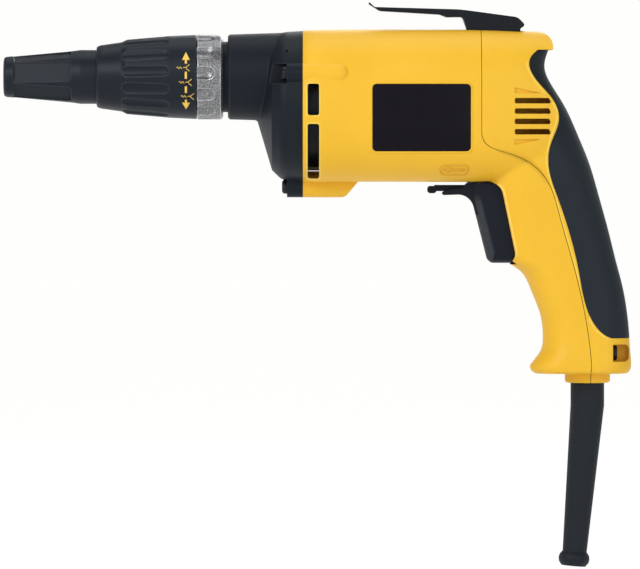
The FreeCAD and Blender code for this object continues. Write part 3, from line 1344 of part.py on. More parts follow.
def reversing_lever():
    bottom = LEVER_TOP - LEVER_THICKNESS
    half = LEVER_HALF_WIDTH
    arm = block(LEVER_TIP_X + 1, LEVER_PIVOT_X + LEVER_TAIL, -half, half, bottom, LEVER_TOP)
    hub = upright(LEVER_HUB_R, bottom, LEVER_TOP, LEVER_PIVOT_X)
    tip_top = LEVER_TOP - LEVER_TIP_DROP / 2
    tip_low = bottom - LEVER_TIP_DROP
    tip_r = (tip_top - tip_low) * 0.4
    tip_end = LEVER_TIP_X + LEVER_TIP_LENGTH
    corners = [(LEVER_TIP_X, tip_top, tip_r), (tip_end, tip_top, 0.4), (tip_end, tip_low, tip_r),
               (LEVER_TIP_X, tip_low, tip_r)]
    tip = side_plate(corners, -LEVER_TIP_HALF_WIDTH, LEVER_TIP_HALF_WIDTH)
    body = arm.cut(block(0, tip_end - 1, -FAR, FAR, tip_top, 0)).fuse([hub, tip])
    return body.cut(upright(LEVER_PIN_R + RUN_GAP, bottom, LEVER_TOP, LEVER_PIVOT_X)).removeSplitter()


def reverser_pin():
    head_z = LEVER_TOP - LEVER_THICKNESS - LOOSE_GAP
    rod = upright(LEVER_PIN_R, head_z, LEVER_TOP + LEVER_PIN_SET, LEVER_PIVOT_X)
    return rod.fuse(upright(LEVER_PIN_HEAD_R, head_z - LEVER_PIN_HEAD, head_z, LEVER_PIVOT_X))


# Belt hook

def belt_hook():
    body = side_plate(HOOK_OUTLINE, -HOOK_HALF_WIDTH, HOOK_HALF_WIDTH)
    tip_x = HOOK_OUTLINE[-1][0] - 1
    end = HOOK_OUTLINE[4][0] + 1
    tip, full = HOOK_TIP_HALF_WIDTH, HOOK_HALF_WIDTH
    plan = [(tip_x, -tip, 3.0), (HOOK_FRONT_X, -full, 20.0), (end, -full, 4.0), (end, full, 4.0),
            (HOOK_FRONT_X, full, 20.0), (tip_x, tip, 3.0)]
    body = body.common(Part.Face(rounded_wire(plan, lambda a, b: V(a, b, 0))).extrude(V(0, 0, FAR)))
    seat = HOOK_SEAT_Z + HOOK_SCREW_SEAT
    for x in HOOK_SCREW_X:
        body = body.cut(upright(HOOK_SCREW_R + SCREW_HOLE_GAP, 0, FAR, x))
        body = body.cut(upright(HOOK_SCREW_HEAD_R + SCREW_HOLE_GAP, seat, FAR, x))
    return body


def belt_hook_screws():
    screw = pan_screw(HOOK_SCREW_HEAD_R, HOOK_SCREW_HEAD, HOOK_SCREW_R, HOOK_SCREW_SEAT + HOOK_SCREW_GRIP)
    screw.rotate(V(0, 0, 0), V(0, 1, 0), 90)
    return Part.makeCompound([placed(screw, x, 0, HOOK_SEAT_Z + HOOK_SCREW_SEAT) for x in HOOK_SCREW_X])


# Cord exit

def kink_z():
    return HANDLE_FOOT_Z - NECK_DROP - PROTECTOR_STRAIGHT


def leaned(shape):
    """Turns a shape made along +X so that it runs down the leaning part of the protector."""
    copy = shape.copy()
    copy.rotate(V(0, 0, 0), V(0, 1, 0), 90 + CORD_LEAN)
    copy.translate(V(CORD_X, 0, kink_z()))
    return copy


def cord_protector():
    floor_z = HANDLE_FOOT_Z + FLOOR_THICKNESS
    top = floor_z + PROTECTOR_FLANGE
    flange = upright(PROTECTOR_FLANGE_R, floor_z, top, CORD_X)
    collar = upright(PROTECTOR_R, kink_z(), top, CORD_X)
    start = PROTECTOR_LENGTH - PROTECTOR_FLARE
    flare = PROTECTOR_FLARE
    shoulder_r = PROTECTOR_FLARE_R - (PROTECTOR_FLARE_R - PROTECTOR_END_R) * 0.2
    boot = turned([
        (0, 0), (0, PROTECTOR_R), (start, PROTECTOR_END_R), (start + flare * 0.25, shoulder_r),
        (start + flare * 0.5, PROTECTOR_FLARE_R), (start + flare * 0.75, shoulder_r),
        (PROTECTOR_LENGTH, PROTECTOR_END_R), (PROTECTOR_LENGTH, 0)])
    bend = Part.makeSphere(PROTECTOR_R, V(CORD_X, 0, kink_z()))
    body = flange.fuse([collar, bend, leaned(boot)])
    way = upright(CORD_R, kink_z(), top, CORD_X).fuse(Part.makeSphere(CORD_R, V(CORD_X, 0, kink_z())))
    way = way.fuse(leaned(cylinder_x(CORD_R, 0, PROTECTOR_LENGTH + 1)))
    return body.cut(way).removeSplitter()


def cord_clamp():
    x0 = clamp_pad_x()
    x1 = CORD_X + CORD_R + CLAMP_THICKNESS
    half = CLAMP_HEIGHT / 2
    body = block(x0, x1, -CLAMP_HALF_WIDTH, CLAMP_HALF_WIDTH, CLAMP_Z - half, CLAMP_Z + half)
    body = body.cut(upright(CORD_R, CLAMP_Z - half, CLAMP_Z + half, CORD_X))
    return body.cut(clamp_screw_holes(x0, x1, SCREW_HOLE_GAP))


def cord_clamp_screws():
    seat = CORD_X + CORD_R + CLAMP_THICKNESS
    length = seat - clamp_pad_x() + CLAMP_SCREW_GRIP
    screw = pan_screw(CLAMP_SCREW_HEAD_R, CLAMP_SCREW_HEAD, CLAMP_SCREW_R, length)
    screw.rotate(V(0, 0, 0), V(0, 0, 1), 180)
    return both_sides(placed(screw, seat, CLAMP_SCREW_Y, CLAMP_Z))


PIECES = [
    locator_nosepiece, depth_collar, nose_sleeve, collar_retaining_ring, nose_o_ring, detent_ring,
    gear_case, gear_case_screws, spindle_bush, spindle, bit_holder, bit_magnet, bit_holder_clip,
    clutch_spring, drive_gear, gear_bush, bearing_plate, front_bearing, rear_bearing,
    armature_shaft, armature_core, armature_windings, commutator, cooling_fan, fan_baffle,
    stator_core, field_coils, brush_holders, carbon_brushes, brush_springs,
    field_case, handle_cover, soft_grip, cover_screws,
    switch_body, trigger, trigger_return_spring, reversing_lever, reverser_pin,
    belt_hook, belt_hook_screws, cord_protector, cord_clamp, cord_clamp_screws,
]

os.makedirs("parts", exist_ok=True)
for piece in PIECES:
    shape = piece()
    print(piece.__name__, "valid" if shape.isValid() else "INVALID", len(shape.Solids))
    shape.exportStep("parts/" + piece.__name__ + ".step")
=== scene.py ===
import math

import bmesh
import bpy
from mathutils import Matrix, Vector
from mathutils.bvhtree import BVHTree


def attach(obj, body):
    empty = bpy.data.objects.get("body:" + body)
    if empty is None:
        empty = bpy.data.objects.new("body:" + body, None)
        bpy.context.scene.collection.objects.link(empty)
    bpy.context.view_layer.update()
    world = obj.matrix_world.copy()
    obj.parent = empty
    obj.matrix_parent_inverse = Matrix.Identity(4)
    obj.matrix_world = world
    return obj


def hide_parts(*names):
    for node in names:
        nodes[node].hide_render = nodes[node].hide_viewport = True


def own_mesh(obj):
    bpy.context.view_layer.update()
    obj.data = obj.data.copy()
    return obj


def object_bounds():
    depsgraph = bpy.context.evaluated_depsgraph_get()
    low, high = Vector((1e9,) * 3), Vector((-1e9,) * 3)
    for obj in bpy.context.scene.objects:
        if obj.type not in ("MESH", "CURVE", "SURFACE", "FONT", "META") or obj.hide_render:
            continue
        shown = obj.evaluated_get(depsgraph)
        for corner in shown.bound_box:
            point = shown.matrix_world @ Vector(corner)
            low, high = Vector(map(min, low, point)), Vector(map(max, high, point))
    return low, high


# A corded drywall screwdriver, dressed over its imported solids. Lengths are in metres, the nose points to -X and
# the shown side faces -Y.

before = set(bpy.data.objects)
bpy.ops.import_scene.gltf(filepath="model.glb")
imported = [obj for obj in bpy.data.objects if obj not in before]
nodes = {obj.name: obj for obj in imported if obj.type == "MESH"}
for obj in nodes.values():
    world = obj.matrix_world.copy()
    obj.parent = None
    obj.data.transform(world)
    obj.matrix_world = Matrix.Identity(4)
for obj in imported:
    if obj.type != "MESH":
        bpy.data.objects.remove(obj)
cad_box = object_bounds()
MM = 0.001


# Shader maths: a Value wraps a socket, and arithmetic on it adds Math nodes

class Value:
    def __init__(self, finish, socket):
        self.finish = finish
        self.socket = socket

    def maths(self, operation, *others):
        inputs = {i: other for i, other in enumerate((self,) + others)}
        return self.finish.node("ShaderNodeMath", {"operation": operation}, inputs)

    def __add__(self, other):
        return self.maths("ADD", other)

    def __sub__(self, other):
        return self.maths("SUBTRACT", other)

    def __mul__(self, other):
        return self.maths("MULTIPLY", other)

    def __rsub__(self, other):
        return self.finish.node("ShaderNodeMath", {"operation": "SUBTRACT"}, {0: other, 1: self})

    __radd__ = __add__
    __rmul__ = __mul__

    def above(self, low, high):
        """0 below low and 1 above high, with a soft step between."""
        return self.finish.node("ShaderNodeMapRange", {"interpolation_type": "SMOOTHSTEP"},
                                {"Value": self, "From Min": low, "From Max": high})

    def sine(self):
        return self.maths("SINE")


class Finish:
    """A procedural material. Patterns follow the piece's own coordinates, in metres."""

    def __init__(self, name):
        self.material = bpy.data.materials.new(name)
        self.material.use_nodes = True
        self.tree = self.material.node_tree
        self.shader = self.tree.nodes["Principled BSDF"]
        self.coords = self.tree.nodes.new("ShaderNodeTexCoord")

    def node(self, kind, settings=None, inputs=None, output=0):
        """Adds a node, with its settings first and then the values or links of its sockets."""
        made = self.tree.nodes.new(kind)
        for name, value in (settings or {}).items():
            setattr(made, name, value)
        for name, value in (inputs or {}).items():
            self.feed(made.inputs[name], value)
        return Value(self, made.outputs[output])

    def feed(self, socket, value):
        if isinstance(value, Value):
            self.tree.links.new(value.socket, socket)
        else:
            socket.default_value = value

    def place(self):
        return Value(self, self.coords.outputs["Object"])

    def facing(self):
        return Value(self, self.coords.outputs["Normal"])

    def part_of(self, vector, axis):
        return self.node("ShaderNodeSeparateXYZ", {}, {0: vector}, output="XYZ".index(axis))

    def scaled(self, size, stretch=(1.0, 1.0, 1.0)):
        """The piece's own coordinates, counted in steps of size metres."""
        return self.node("ShaderNodeVectorMath", {"operation": "MULTIPLY"},
                         {0: self.place(), 1: tuple(s / size for s in stretch)})

    def noise(self, size, detail=3.0, rough=0.55, stretch=(1.0, 1.0, 1.0)):
        """Noise from 0 to 1 whose features are about size metres across."""
        return self.node("ShaderNodeTexNoise", {}, {"Vector": self.scaled(size, stretch), "Scale": 1.0,
                                                    "Detail": detail, "Roughness": rough})

    def cells(self, size):
        """Cells about size metres across, 0 at their middle."""
        return self.node("ShaderNodeTexVoronoi", {}, {"Vector": self.scaled(size), "Scale": 1.0})

    def blend(self, a, b, share):
        """Colour a where share is 0, b where it is 1."""
        return self.node("ShaderNodeMix", {"data_type": "RGBA"}, {0: share, 6: a, 7: b}, output=2)

    def round_edges(self, radius, samples=4):
        return self.node("ShaderNodeBevel", {"samples": samples}, {"Radius": radius})

    def near(self, x0, x1, z0, z1, fade):
        """1 in a block of the side view, fading out inside its edges."""
        x = self.part_of(self.place(), "X")
        z = self.part_of(self.place(), "Z")
        return (x.above(x0, x0 + fade) * (1.0 - x.above(x1 - fade, x1))
                * z.above(z0, z0 + fade) * (1.0 - z.above(z1 - fade, z1)))

    def edge_wear_and_highlight(self, radius):
        """1 along sharp edges, fading out over radius metres; the finishes lighten these edges, partly as wear and
        partly as painted highlight.
        """
        agree = self.node("ShaderNodeVectorMath", {"operation": "DOT_PRODUCT"},
                          {0: self.round_edges(radius), 1: self.node("ShaderNodeNewGeometry", output="Normal")},
                          output=1)
        return (1.0 - agree).above(0.005, 0.08)

    def painted_recess_shade(self, reach):
        """1 in narrow corners and pockets, 0 on open faces, from ambient occlusion; the finishes darken there as
        painted shade.
        """
        shut = self.node("ShaderNodeAmbientOcclusion", {"samples": 8, "only_local": True}, {"Distance": reach}, "AO")
        return (1.0 - shut).above(0.1, 0.6)

    def bump(self, height, depth, normal=None):
        inputs = {"Height": height, "Distance": depth, "Strength": 1.0}
        if normal is not None:
            inputs["Normal"] = normal
        return self.node("ShaderNodeBump", {}, inputs)

    def done(self, **sockets):
        for name, value in sockets.items():
            self.feed(self.shader.inputs[name.replace("_", " ")], value)
        return self.material


def colour(red, green, blue):
    """Linear colour of screen values from 0 to 255."""
    def linear(v):
        v = v / 255.0
        return v / 12.92 if v <= 0.04045 else ((v + 0.055) / 1.055) ** 2.4
    return (linear(red), linear(green), linear(blue), 1.0)


def toned(base, gain, lift=0.0):
    """A colour made lighter or darker."""
    return tuple(min(1.0, c * gain + lift) for c in base[:3]) + (1.0,)


# Finishes

def moulded(name, deep, light, rough, grain=0.35 * MM, grain_depth=0.012 * MM, edge=0.35 * MM, shine=0.5,
            wear_and_highlight=0.35, recess_shade_share=0.0, softened=None):
    """Spark-textured moulded plastic: fine grain, lighter edges that are partly wear and partly painted highlight,
    painted shade in recesses, creases softened in one block.
    """
    m = Finish(name)
    tone = m.noise(28 * MM, 3.0)
    fleck = m.noise(1.6 * MM, 2.0)
    worn_and_lit_edge = m.edge_wear_and_highlight(edge)
    base = m.blend(deep, light, tone * 0.7 + fleck * 0.3)
    # Lighter edges: partly wear, partly painted highlight along the rounded edges.
    base = m.blend(base, toned(light, 1.35, 0.012 + 0.04 * recess_shade_share), worn_and_lit_edge * wear_and_highlight)
    # Painted shade: darker towards the deep colour in recesses and corners.
    if recess_shade_share:
        base = m.blend(base, toned(deep, 0.4), m.painted_recess_shade(5 * MM) * recess_shade_share)
    texture = m.noise(grain, 4.0, 0.65)
    roughness = tone * 0.10 + texture * 0.12 + (rough - 0.11) - worn_and_lit_edge * 0.08
    rounded = m.round_edges(edge)
    if softened:
        rounded = m.node("ShaderNodeMix", {"data_type": "VECTOR"},
                         {0: m.near(*softened), 4: rounded, 5: m.round_edges(5 * MM, 12)}, output=1)
    normal = m.bump(texture, grain_depth, rounded)
    return m.done(Base_Color=base, Roughness=roughness, Normal=normal, Specular_IOR_Level=shine)


def rubber(name, deep, light, grain=0.55 * MM, depth=0.02 * MM):
    """Matt rubber with a fine leathery grain and a dusty bloom."""
    m = Finish(name)
    cell = m.cells(grain)
    cloud = m.noise(16 * MM, 4.0)
    base = m.blend(deep, light, cloud * 0.6 + cell * 0.4)
    roughness = cloud * 0.14 + 0.56
    normal = m.bump(cell + m.noise(grain * 0.4, 2.0) * 0.6, depth, m.round_edges(0.4 * MM))
    return m.done(Base_Color=base, Roughness=roughness, Normal=normal, Specular_IOR_Level=0.28)


def metal(name, deep, light, rough, grain, depth, stretch=(1.0, 1.0, 1.0), worn_share=0.4, metallic=1.0,
          edge=0.3 * MM, shine=0.5):
    """Bare or oxidised metal, grained along its stretch."""
    m = Finish(name)
    streak = m.noise(grain, 4.0, 0.6, stretch)
    cloud = m.noise(9 * MM, 3.0)
    worn_and_lit_edge = m.edge_wear_and_highlight(0.3 * MM)
    base = m.blend(deep, light, streak * 0.65 + cloud * 0.35)
    base = m.blend(base, toned(light, 1.4, 0.03), worn_and_lit_edge * worn_share)
    normal = m.bump(streak, depth, m.round_edges(edge, 8))
    return m.done(Base_Color=base, Roughness=streak * 0.2 + cloud * 0.1 + (rough - 0.15) - worn_and_lit_edge * 0.1,
                  Metallic=metallic, Normal=normal, Specular_IOR_Level=shine)


def cast_zinc():
    """Grainy die-cast ring with darker specks, painted shade in its hollows, and near-white edges that are partly
    rubbed metal and partly painted highlight.
    """
    m = Finish("cast zinc")
    grit = m.noise(0.55 * MM, 3.0, 0.7)
    speck = m.cells(0.5 * MM)
    cloud = m.noise(7 * MM, 3.0)
    worn_and_lit_edge = m.edge_wear_and_highlight(0.6 * MM)
    base = m.blend(colour(88, 89, 92), colour(168, 169, 171), grit.above(0.35, 0.65))
    base = m.blend(base, colour(66, 67, 71), speck.above(0.35, 0.75) * 0.35)
    # Painted shade in the scoops and hollows.
    base = m.blend(base, colour(40, 41, 44), m.painted_recess_shade(4 * MM) * 0.6)
    # Near-white edges: partly rubbed metal, partly painted highlight.
    base = m.blend(base, colour(244, 244, 244), worn_and_lit_edge * 0.8)
    normal = m.bump(grit + speck * 0.5, 0.035 * MM, m.round_edges(0.4 * MM))
    return m.done(Base_Color=base, Metallic=0.9, Roughness=grit * 0.16 + cloud * 0.1 + 0.20 - worn_and_lit_edge * 0.08,
                  Normal=normal)


def trigger_plastic():
    """Satin black, with a rough stippled band where the finger pulls; the band is lighter on the faces turned to the
    nose, partly as stipple and partly as a painted highlight on the curved front, and the edges are lighter as part
    wear and part painted highlight.
    """
    m = Finish("trigger plastic")
    low = 1.0 - m.part_of(m.place(), "Z").above(-62 * MM, -55 * MM)
    stippled_band_and_highlight = (m.part_of(m.facing(), "X") * -1.0).above(0.12, 0.45) * low
    tone = m.noise(14 * MM, 3.0)
    stipple = m.cells(0.7 * MM)
    worn_and_lit_edge = m.edge_wear_and_highlight(0.4 * MM)
    base = m.blend(colour(9, 14, 28), colour(15, 21, 36), tone)
    # Lighter finger band and lighter edges: stipple and wear, with painted highlight on the curved front and along
    # the edges.
    base = m.blend(base, colour(62, 66, 71), stippled_band_and_highlight * (0.6 + stipple * 0.4))
    base = m.blend(base, colour(50, 55, 63), worn_and_lit_edge * 0.4)
    height = stipple * stippled_band_and_highlight + m.noise(0.3 * MM, 3.0) * 0.12
    normal = m.bump(height, 0.12 * MM, m.round_edges(0.4 * MM))
    return m.done(Base_Color=base, Roughness=stippled_band_and_highlight * 0.2 + tone * 0.1 + 0.38, Normal=normal,
                  Specular_IOR_Level=0.18)


def windings():
    """Enamelled copper wire wound round the X axis."""
    m = Finish("copper windings")
    x = m.part_of(m.place(), "X")
    turn = (x * (2 * math.pi / (0.7 * MM))).sine() * 0.5 + 0.5
    cloud = m.noise(3 * MM, 3.0)
    base = m.blend(colour(96, 46, 22), colour(196, 112, 62), turn * 0.6 + cloud * 0.4)
    return m.done(Base_Color=base, Metallic=0.75, Roughness=cloud * 0.15 + 0.3, Normal=m.bump(turn, 0.15 * MM))


def laminations():
    """Stacked sheet steel, seen as fine lines across X."""
    m = Finish("laminations")
    x = m.part_of(m.place(), "X")
    line = (x * (2 * math.pi / (0.8 * MM))).sine().above(-0.6, 0.6)
    stain = m.noise(6 * MM, 4.0)
    base = m.blend(colour(62, 62, 64), colour(120, 119, 117), line * 0.7 + stain * 0.3)
    return m.done(Base_Color=base, Metallic=0.8, Roughness=stain * 0.2 + 0.4, Normal=m.bump(line, 0.1 * MM))


def label_film():
    """Satin black film with a faint orange peel and rubs along the tool."""
    m = Finish("label film")
    orange_peel = m.noise(2.2 * MM, 2.0)
    rub = m.noise(22 * MM, 5.0, 0.6, (1.0, 1.0, 0.25)).above(0.62, 0.82)
    base = m.blend(colour(7, 4, 14), colour(12, 8, 20), m.noise(12 * MM, 3.0))
    base = m.blend(base, colour(34, 32, 40), rub * 0.25)
    return m.done(Base_Color=base, Roughness=0.34 + rub * 0.2 + orange_peel * 0.05,
                  Normal=m.bump(orange_peel, 0.01 * MM), Specular_IOR_Level=0.12)


def printed_ink():
    """Yellow ink, thin enough to break up a little over the texture."""
    m = Finish("printed ink")
    breakup = m.noise(0.4 * MM, 3.0)
    base = m.blend(colour(246, 190, 60), colour(255, 222, 100), m.noise(3 * MM, 3.0))
    base = m.blend(base, colour(150, 108, 40), breakup.above(0.66, 0.8) * 0.5)
    return m.done(Base_Color=base, Roughness=breakup * 0.2 + 0.4, Normal=m.bump(breakup, 0.01 * MM))


yellow = moulded("yellow housing", colour(246, 190, 40), colour(254, 200, 50), 0.48, shine=0.35, wear_and_highlight=0.2,
                 softened=(233 * MM, 264 * MM, -56 * MM, -32 * MM, 5 * MM))
# Darker copy of the housing yellow: painted shade on the raised sign's lines.
shaded_sign_yellow = moulded("raised sign shaded yellow", colour(224, 168, 38), colour(236, 180, 46), 0.5, shine=0.3)
# Lighter copies of the housing yellow: painted highlight along the raised lips.
highlit_lip_yellow = moulded("yellow lips highlit", colour(253, 208, 74), colour(255, 218, 92), 0.42, shine=0.4)
highlit_trigger_lip_yellow = moulded("trigger lip highlit plastic", colour(253, 212, 92), colour(255, 224, 120), 0.34, wear_and_highlight=0.5)
# Nose and gear case: strongly lighter edges (painted highlight as well as wear) and painted shade in recesses.
nose_black = moulded("nose plastic", colour(18, 25, 33), colour(27, 35, 45), 0.40, edge=0.9 * MM, shine=0.18,
                     wear_and_highlight=0.9, recess_shade_share=0.9)
case_black = moulded("gear case paint", colour(15, 23, 31), colour(23, 31, 40), 0.50, grain=0.5 * MM,
                     grain_depth=0.03 * MM, edge=0.8 * MM, shine=0.16, wear_and_highlight=0.7, recess_shade_share=0.5)
grip_rubber = rubber("grip rubber", colour(15, 25, 33), colour(26, 37, 46))
boot_rubber = rubber("cord boot rubber", colour(13, 19, 27), colour(22, 29, 38), 0.9 * MM, 0.015 * MM)
ring_rubber = rubber("seal rubber", colour(16, 17, 19), colour(26, 27, 30))
hook_steel = metal("blacked hook steel", colour(9, 14, 22), colour(19, 25, 34), 0.40, 1.2 * MM, 0.01 * MM,
                   (0.25, 1.0, 1.0), worn_share=0.15, metallic=0.1, edge=1.4 * MM, shine=0.2)
screw_steel = metal("blacked screw steel", colour(22, 24, 28), colour(44, 46, 50), 0.40, 0.6 * MM, 0.01 * MM,
                    metallic=0.7)
ground_steel = metal("ground steel", colour(128, 129, 132), colour(178, 179, 182), 0.30, 0.5 * MM, 0.006 * MM,
                     (1.0, 0.2, 0.2))
wire_steel = metal("spring wire", colour(86, 87, 92), colour(134, 135, 140), 0.34, 0.4 * MM, 0.006 * MM)
bronze = metal("sintered bronze", colour(120, 84, 44), colour(178, 134, 80), 0.42, 0.3 * MM, 0.02 * MM)
carbon = metal("pressed carbon", colour(16, 16, 18), colour(34, 34, 36), 0.6, 0.4 * MM, 0.01 * MM, metallic=0.1)
pale_plastic = moulded("baffle plastic", colour(150, 138, 112), colour(186, 174, 146), 0.5)
grey_plastic = moulded("inner grey plastic", colour(62, 64, 67), colour(86, 88, 92), 0.5)
zinc = cast_zinc()
trigger_black = trigger_plastic()
copper = windings()
sheet_steel = laminations()
film = label_film()
ink = printed_ink()

FINISH_OF = {
    yellow: ["field_case", "handle_cover"],
    nose_black: ["locator_nosepiece", "depth_collar", "nose_sleeve"],
    case_black: ["gear_case", "bearing_plate"],
    grip_rubber: ["soft_grip"],
    boot_rubber: ["cord_protector"],
    ring_rubber: ["nose_o_ring"],
    hook_steel: ["belt_hook"],
    screw_steel: ["gear_case_screws", "cover_screws", "belt_hook_screws", "cord_clamp_screws"],
    ground_steel: ["spindle", "bit_holder", "bit_magnet", "drive_gear", "front_bearing", "rear_bearing",
                   "armature_shaft", "reverser_pin"],
    wire_steel: ["collar_retaining_ring", "bit_holder_clip", "clutch_spring", "brush_springs",
                 "trigger_return_spring"],
    bronze: ["spindle_bush", "gear_bush", "brush_holders"],
    carbon: ["carbon_brushes"],
    pale_plastic: ["fan_baffle"],
    grey_plastic: ["cooling_fan", "switch_body", "cord_clamp"],
    zinc: ["detent_ring"],
    trigger_black: ["trigger", "reversing_lever"],
    copper: ["armature_windings", "commutator", "field_coils"],
    sheet_steel: ["armature_core", "stator_core"],
}
SOLID_CREASE = math.radians(28)
PIECE_CREASE = math.radians(35)

for finish, names in FINISH_OF.items():
    for name in names:
        mesh = nodes[name].data
        mesh.materials.clear()
        mesh.materials.append(finish)
        mesh.shade_smooth()
        mesh.set_sharp_from_angle(angle=SOLID_CREASE)


# Tools for the pieces that the scene adds

def placed(name, data):
    """New object in the scene."""
    made = bpy.data.objects.new(name, data)
    bpy.context.scene.collection.objects.link(made)
    return made


def piece(name, mesh, body, finish, smooth=True):
    made = placed(name, mesh)
    mesh.materials.append(finish)
    if smooth:
        mesh.shade_smooth()
        mesh.set_sharp_from_angle(angle=PIECE_CREASE)
    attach(made, body)
    return made


def mesh_of(name, build):
    shape = bmesh.new()
    build(shape)
    bmesh.ops.recalc_face_normals(shape, faces=shape.faces)
    mesh = bpy.data.meshes.new(name)
    shape.to_mesh(mesh)
    shape.free()
    return mesh


def surface_of(*names):
    """Search tree over the named solids."""
    points, faces = [], []
    for name in names:
        mesh = nodes[name].data
        start = len(points)
        points += [v.co.copy() for v in mesh.vertices]
        faces += [[start + i for i in face.vertices] for face in mesh.polygons]
    return BVHTree.FromPolygons(points, faces)


barrel = surface_of("field_case", "handle_cover")


def on_barrel(x, z, lift=0.0):
    """Point on the shown side of the housing, lifted off it along its normal.

    A ray that slips between two faces is cast again a little beside.
    """
    hit, beside = None, 0.0
    while hit is None:
        hit, normal, _, _ = barrel.ray_cast(Vector((x + beside, -0.2, z)), Vector((0, 1, 0)))
        beside += 0.01 * MM
    return hit + normal * lift


def both_sides(shape):
    """Adds the mirror image of what is there, on the other side of the housing."""
    whole = list(shape.verts) + list(shape.edges) + list(shape.faces)
    copy = bmesh.ops.duplicate(shape, geom=whole)["geom"]
    bmesh.ops.scale(shape, vec=(1.0, -1.0, 1.0), verts=[g for g in copy if isinstance(g, bmesh.types.BMVert)])


def quads(shape, rows, closed=False):
    """Joins rows of points, each as long as the next, with quads."""
    made = [[shape.verts.new(p) for p in row] for row in rows]
    across = len(made[0])
    for a, b in zip(made, made[1:]):
        for i in range(across if closed else across - 1):
            j = (i + 1) % across
            shape.faces.new((a[i], a[j], b[j], b[i]))
    return made


def capped(shape, rows):
    """Joins rows with quads and closes the first and the last."""
    made = quads(shape, rows)
    shape.faces.new(made[0])
    shape.faces.new(made[-1][::-1])


def border(grid):
    """Vertices round the edge of a grid."""
    return grid[0] + [row[-1] for row in grid[1:-1]] + grid[-1][::-1] + [row[0] for row in grid[-2:0:-1]]


def plate(shape, rows_low, rows_high):
    """Closed plate between two matching grids of points."""
    a, b = border(quads(shape, rows_low)), border(quads(shape, rows_high))
    for i in range(len(a)):
        j = (i + 1) % len(a)
        shape.faces.new((a[i], a[j], b[j], b[i]))


def direction(path, i, closed=False):
    """Which way a path runs at its point i."""
    x0, z0 = path[i - 1] if closed or i else path[i]
    x1, z1 = path[(i + 1) % len(path)] if closed or i < len(path) - 1 else path[i]
    return Vector((x1 - x0, z1 - z0)).normalized()


def beside(path, away):
    """A path moved to its right."""
    moved = []
    for i, (x, z) in enumerate(path):
        along = direction(path, i)
        moved.append((x + along.y * away, z - along.x * away))
    return moved


def smooth_path(points, steps=6):
    """Points along a soft curve through the given ones, which are in millimetres."""
    points = [(x * MM, z * MM) for x, z in points]
    ends = [points[0]] + points + [points[-1]]
    path = []
    for a, b, c, d in zip(ends, ends[1:], ends[2:], ends[3:]):
        for step in range(steps):
            u = step / steps
            weights = ((-u + 2 * u * u - u ** 3) / 2, (2 - 5 * u * u + 3 * u ** 3) / 2,
                       (u + 4 * u * u - 3 * u ** 3) / 2, (-u * u + u ** 3) / 2)
            path.append(tuple(sum(w * p[i] for w, p in zip(weights, (a, b, c, d))) for i in (0, 1)))
    return path + [points[-1]]


def rounded_outline(x0, x1, z0, z1, r, turn_steps=6, side_steps=12):
    """Points of a rounded rectangle in the side view, with the straight sides divided for a curved seat."""
    points = []
    corners = [(x1 - r, z1 - r, 0), (x0 + r, z1 - r, 90), (x0 + r, z0 + r, 180), (x1 - r, z0 + r, 270)]
    for i, (cx, cz, start) in enumerate(corners):
        for step in range(turn_steps + 1):
            a = math.radians(start + 90.0 * step / turn_steps)
            points.append((cx + r * math.cos(a), cz + r * math.sin(a)))
        nx, nz, nstart = corners[(i + 1) % 4]
        a = math.radians(nstart)
        ahead = (nx + r * math.cos(a), nz + r * math.sin(a))
        last = points[-1]
        for step in range(1, side_steps):
            share = step / side_steps
            points.append((last[0] + (ahead[0] - last[0]) * share, last[1] + (ahead[1] - last[1]) * share))
    return points


def bead(shape, path, radius, height, closed=True, sunk=0.05 * MM, steps=6):
    """Rounded raised line along points (x, z) of the housing's shown side."""
    rows = []
    for i, (x, z) in enumerate(path):
        along = direction(path, i, closed)
        side = Vector((-along.y, along.x))
        row = []
        for step in range(steps + 1):
            angle = math.pi * step / steps
            offset = side * (math.cos(angle) * radius)
            row.append(on_barrel(x + offset.x, z + offset.y, math.sin(angle) * height - sunk))
        rows.append(row)
    if closed:
        quads(shape, rows + rows[:1])
        bmesh.ops.remove_doubles(shape, verts=shape.verts, dist=1e-7)
    else:
        capped(shape, rows)


# Label: a bare plate in a raised rim

LABEL = (177.4 * MM, 224.4 * MM, -35.6 * MM, -3.5 * MM, 2.0 * MM)


def label_rows(lift, across=24, up=20):
    """Grid over the rounded label, on the housing."""
    x0, x1, z0, z1, r = LABEL
    heights = [z0 + r * (1 - math.cos(math.radians(a))) for a in range(0, 91, 15)]
    heights += [z0 + r + (z1 - z0 - 2 * r) * i / up for i in range(1, up)]
    heights += [z1 - r * (1 - math.cos(math.radians(a))) for a in range(90, -1, -15)]
    rows = []
    for z in heights:
        past = max(0.0, z0 + r - z, z - z1 + r)
        trim = r - math.sqrt(max(0.0, r * r - past * past))
        rows.append([on_barrel(x0 + trim + (x1 - x0 - 2 * trim) * i / across, z, lift) for i in range(across + 1)])
    return rows


def label_plate(shape):
    plate(shape, label_rows(-0.1 * MM), label_rows(0.22 * MM))


def label_rim(shape):
    x0, x1, z0, z1, r = LABEL
    out = 0.55 * MM
    bead(shape, rounded_outline(x0 - out, x1 + out, z0 - out, z1 + out, r + out), out, 0.42 * MM)


piece("label_plate", mesh_of("label_plate", label_plate), "housing", film)
piece("label_rim", mesh_of("label_rim", label_rim), "housing", yellow)


# Raised signs and lips of the housing in shaded and highlit yellow, and dark pieces that paint shade into its gaps

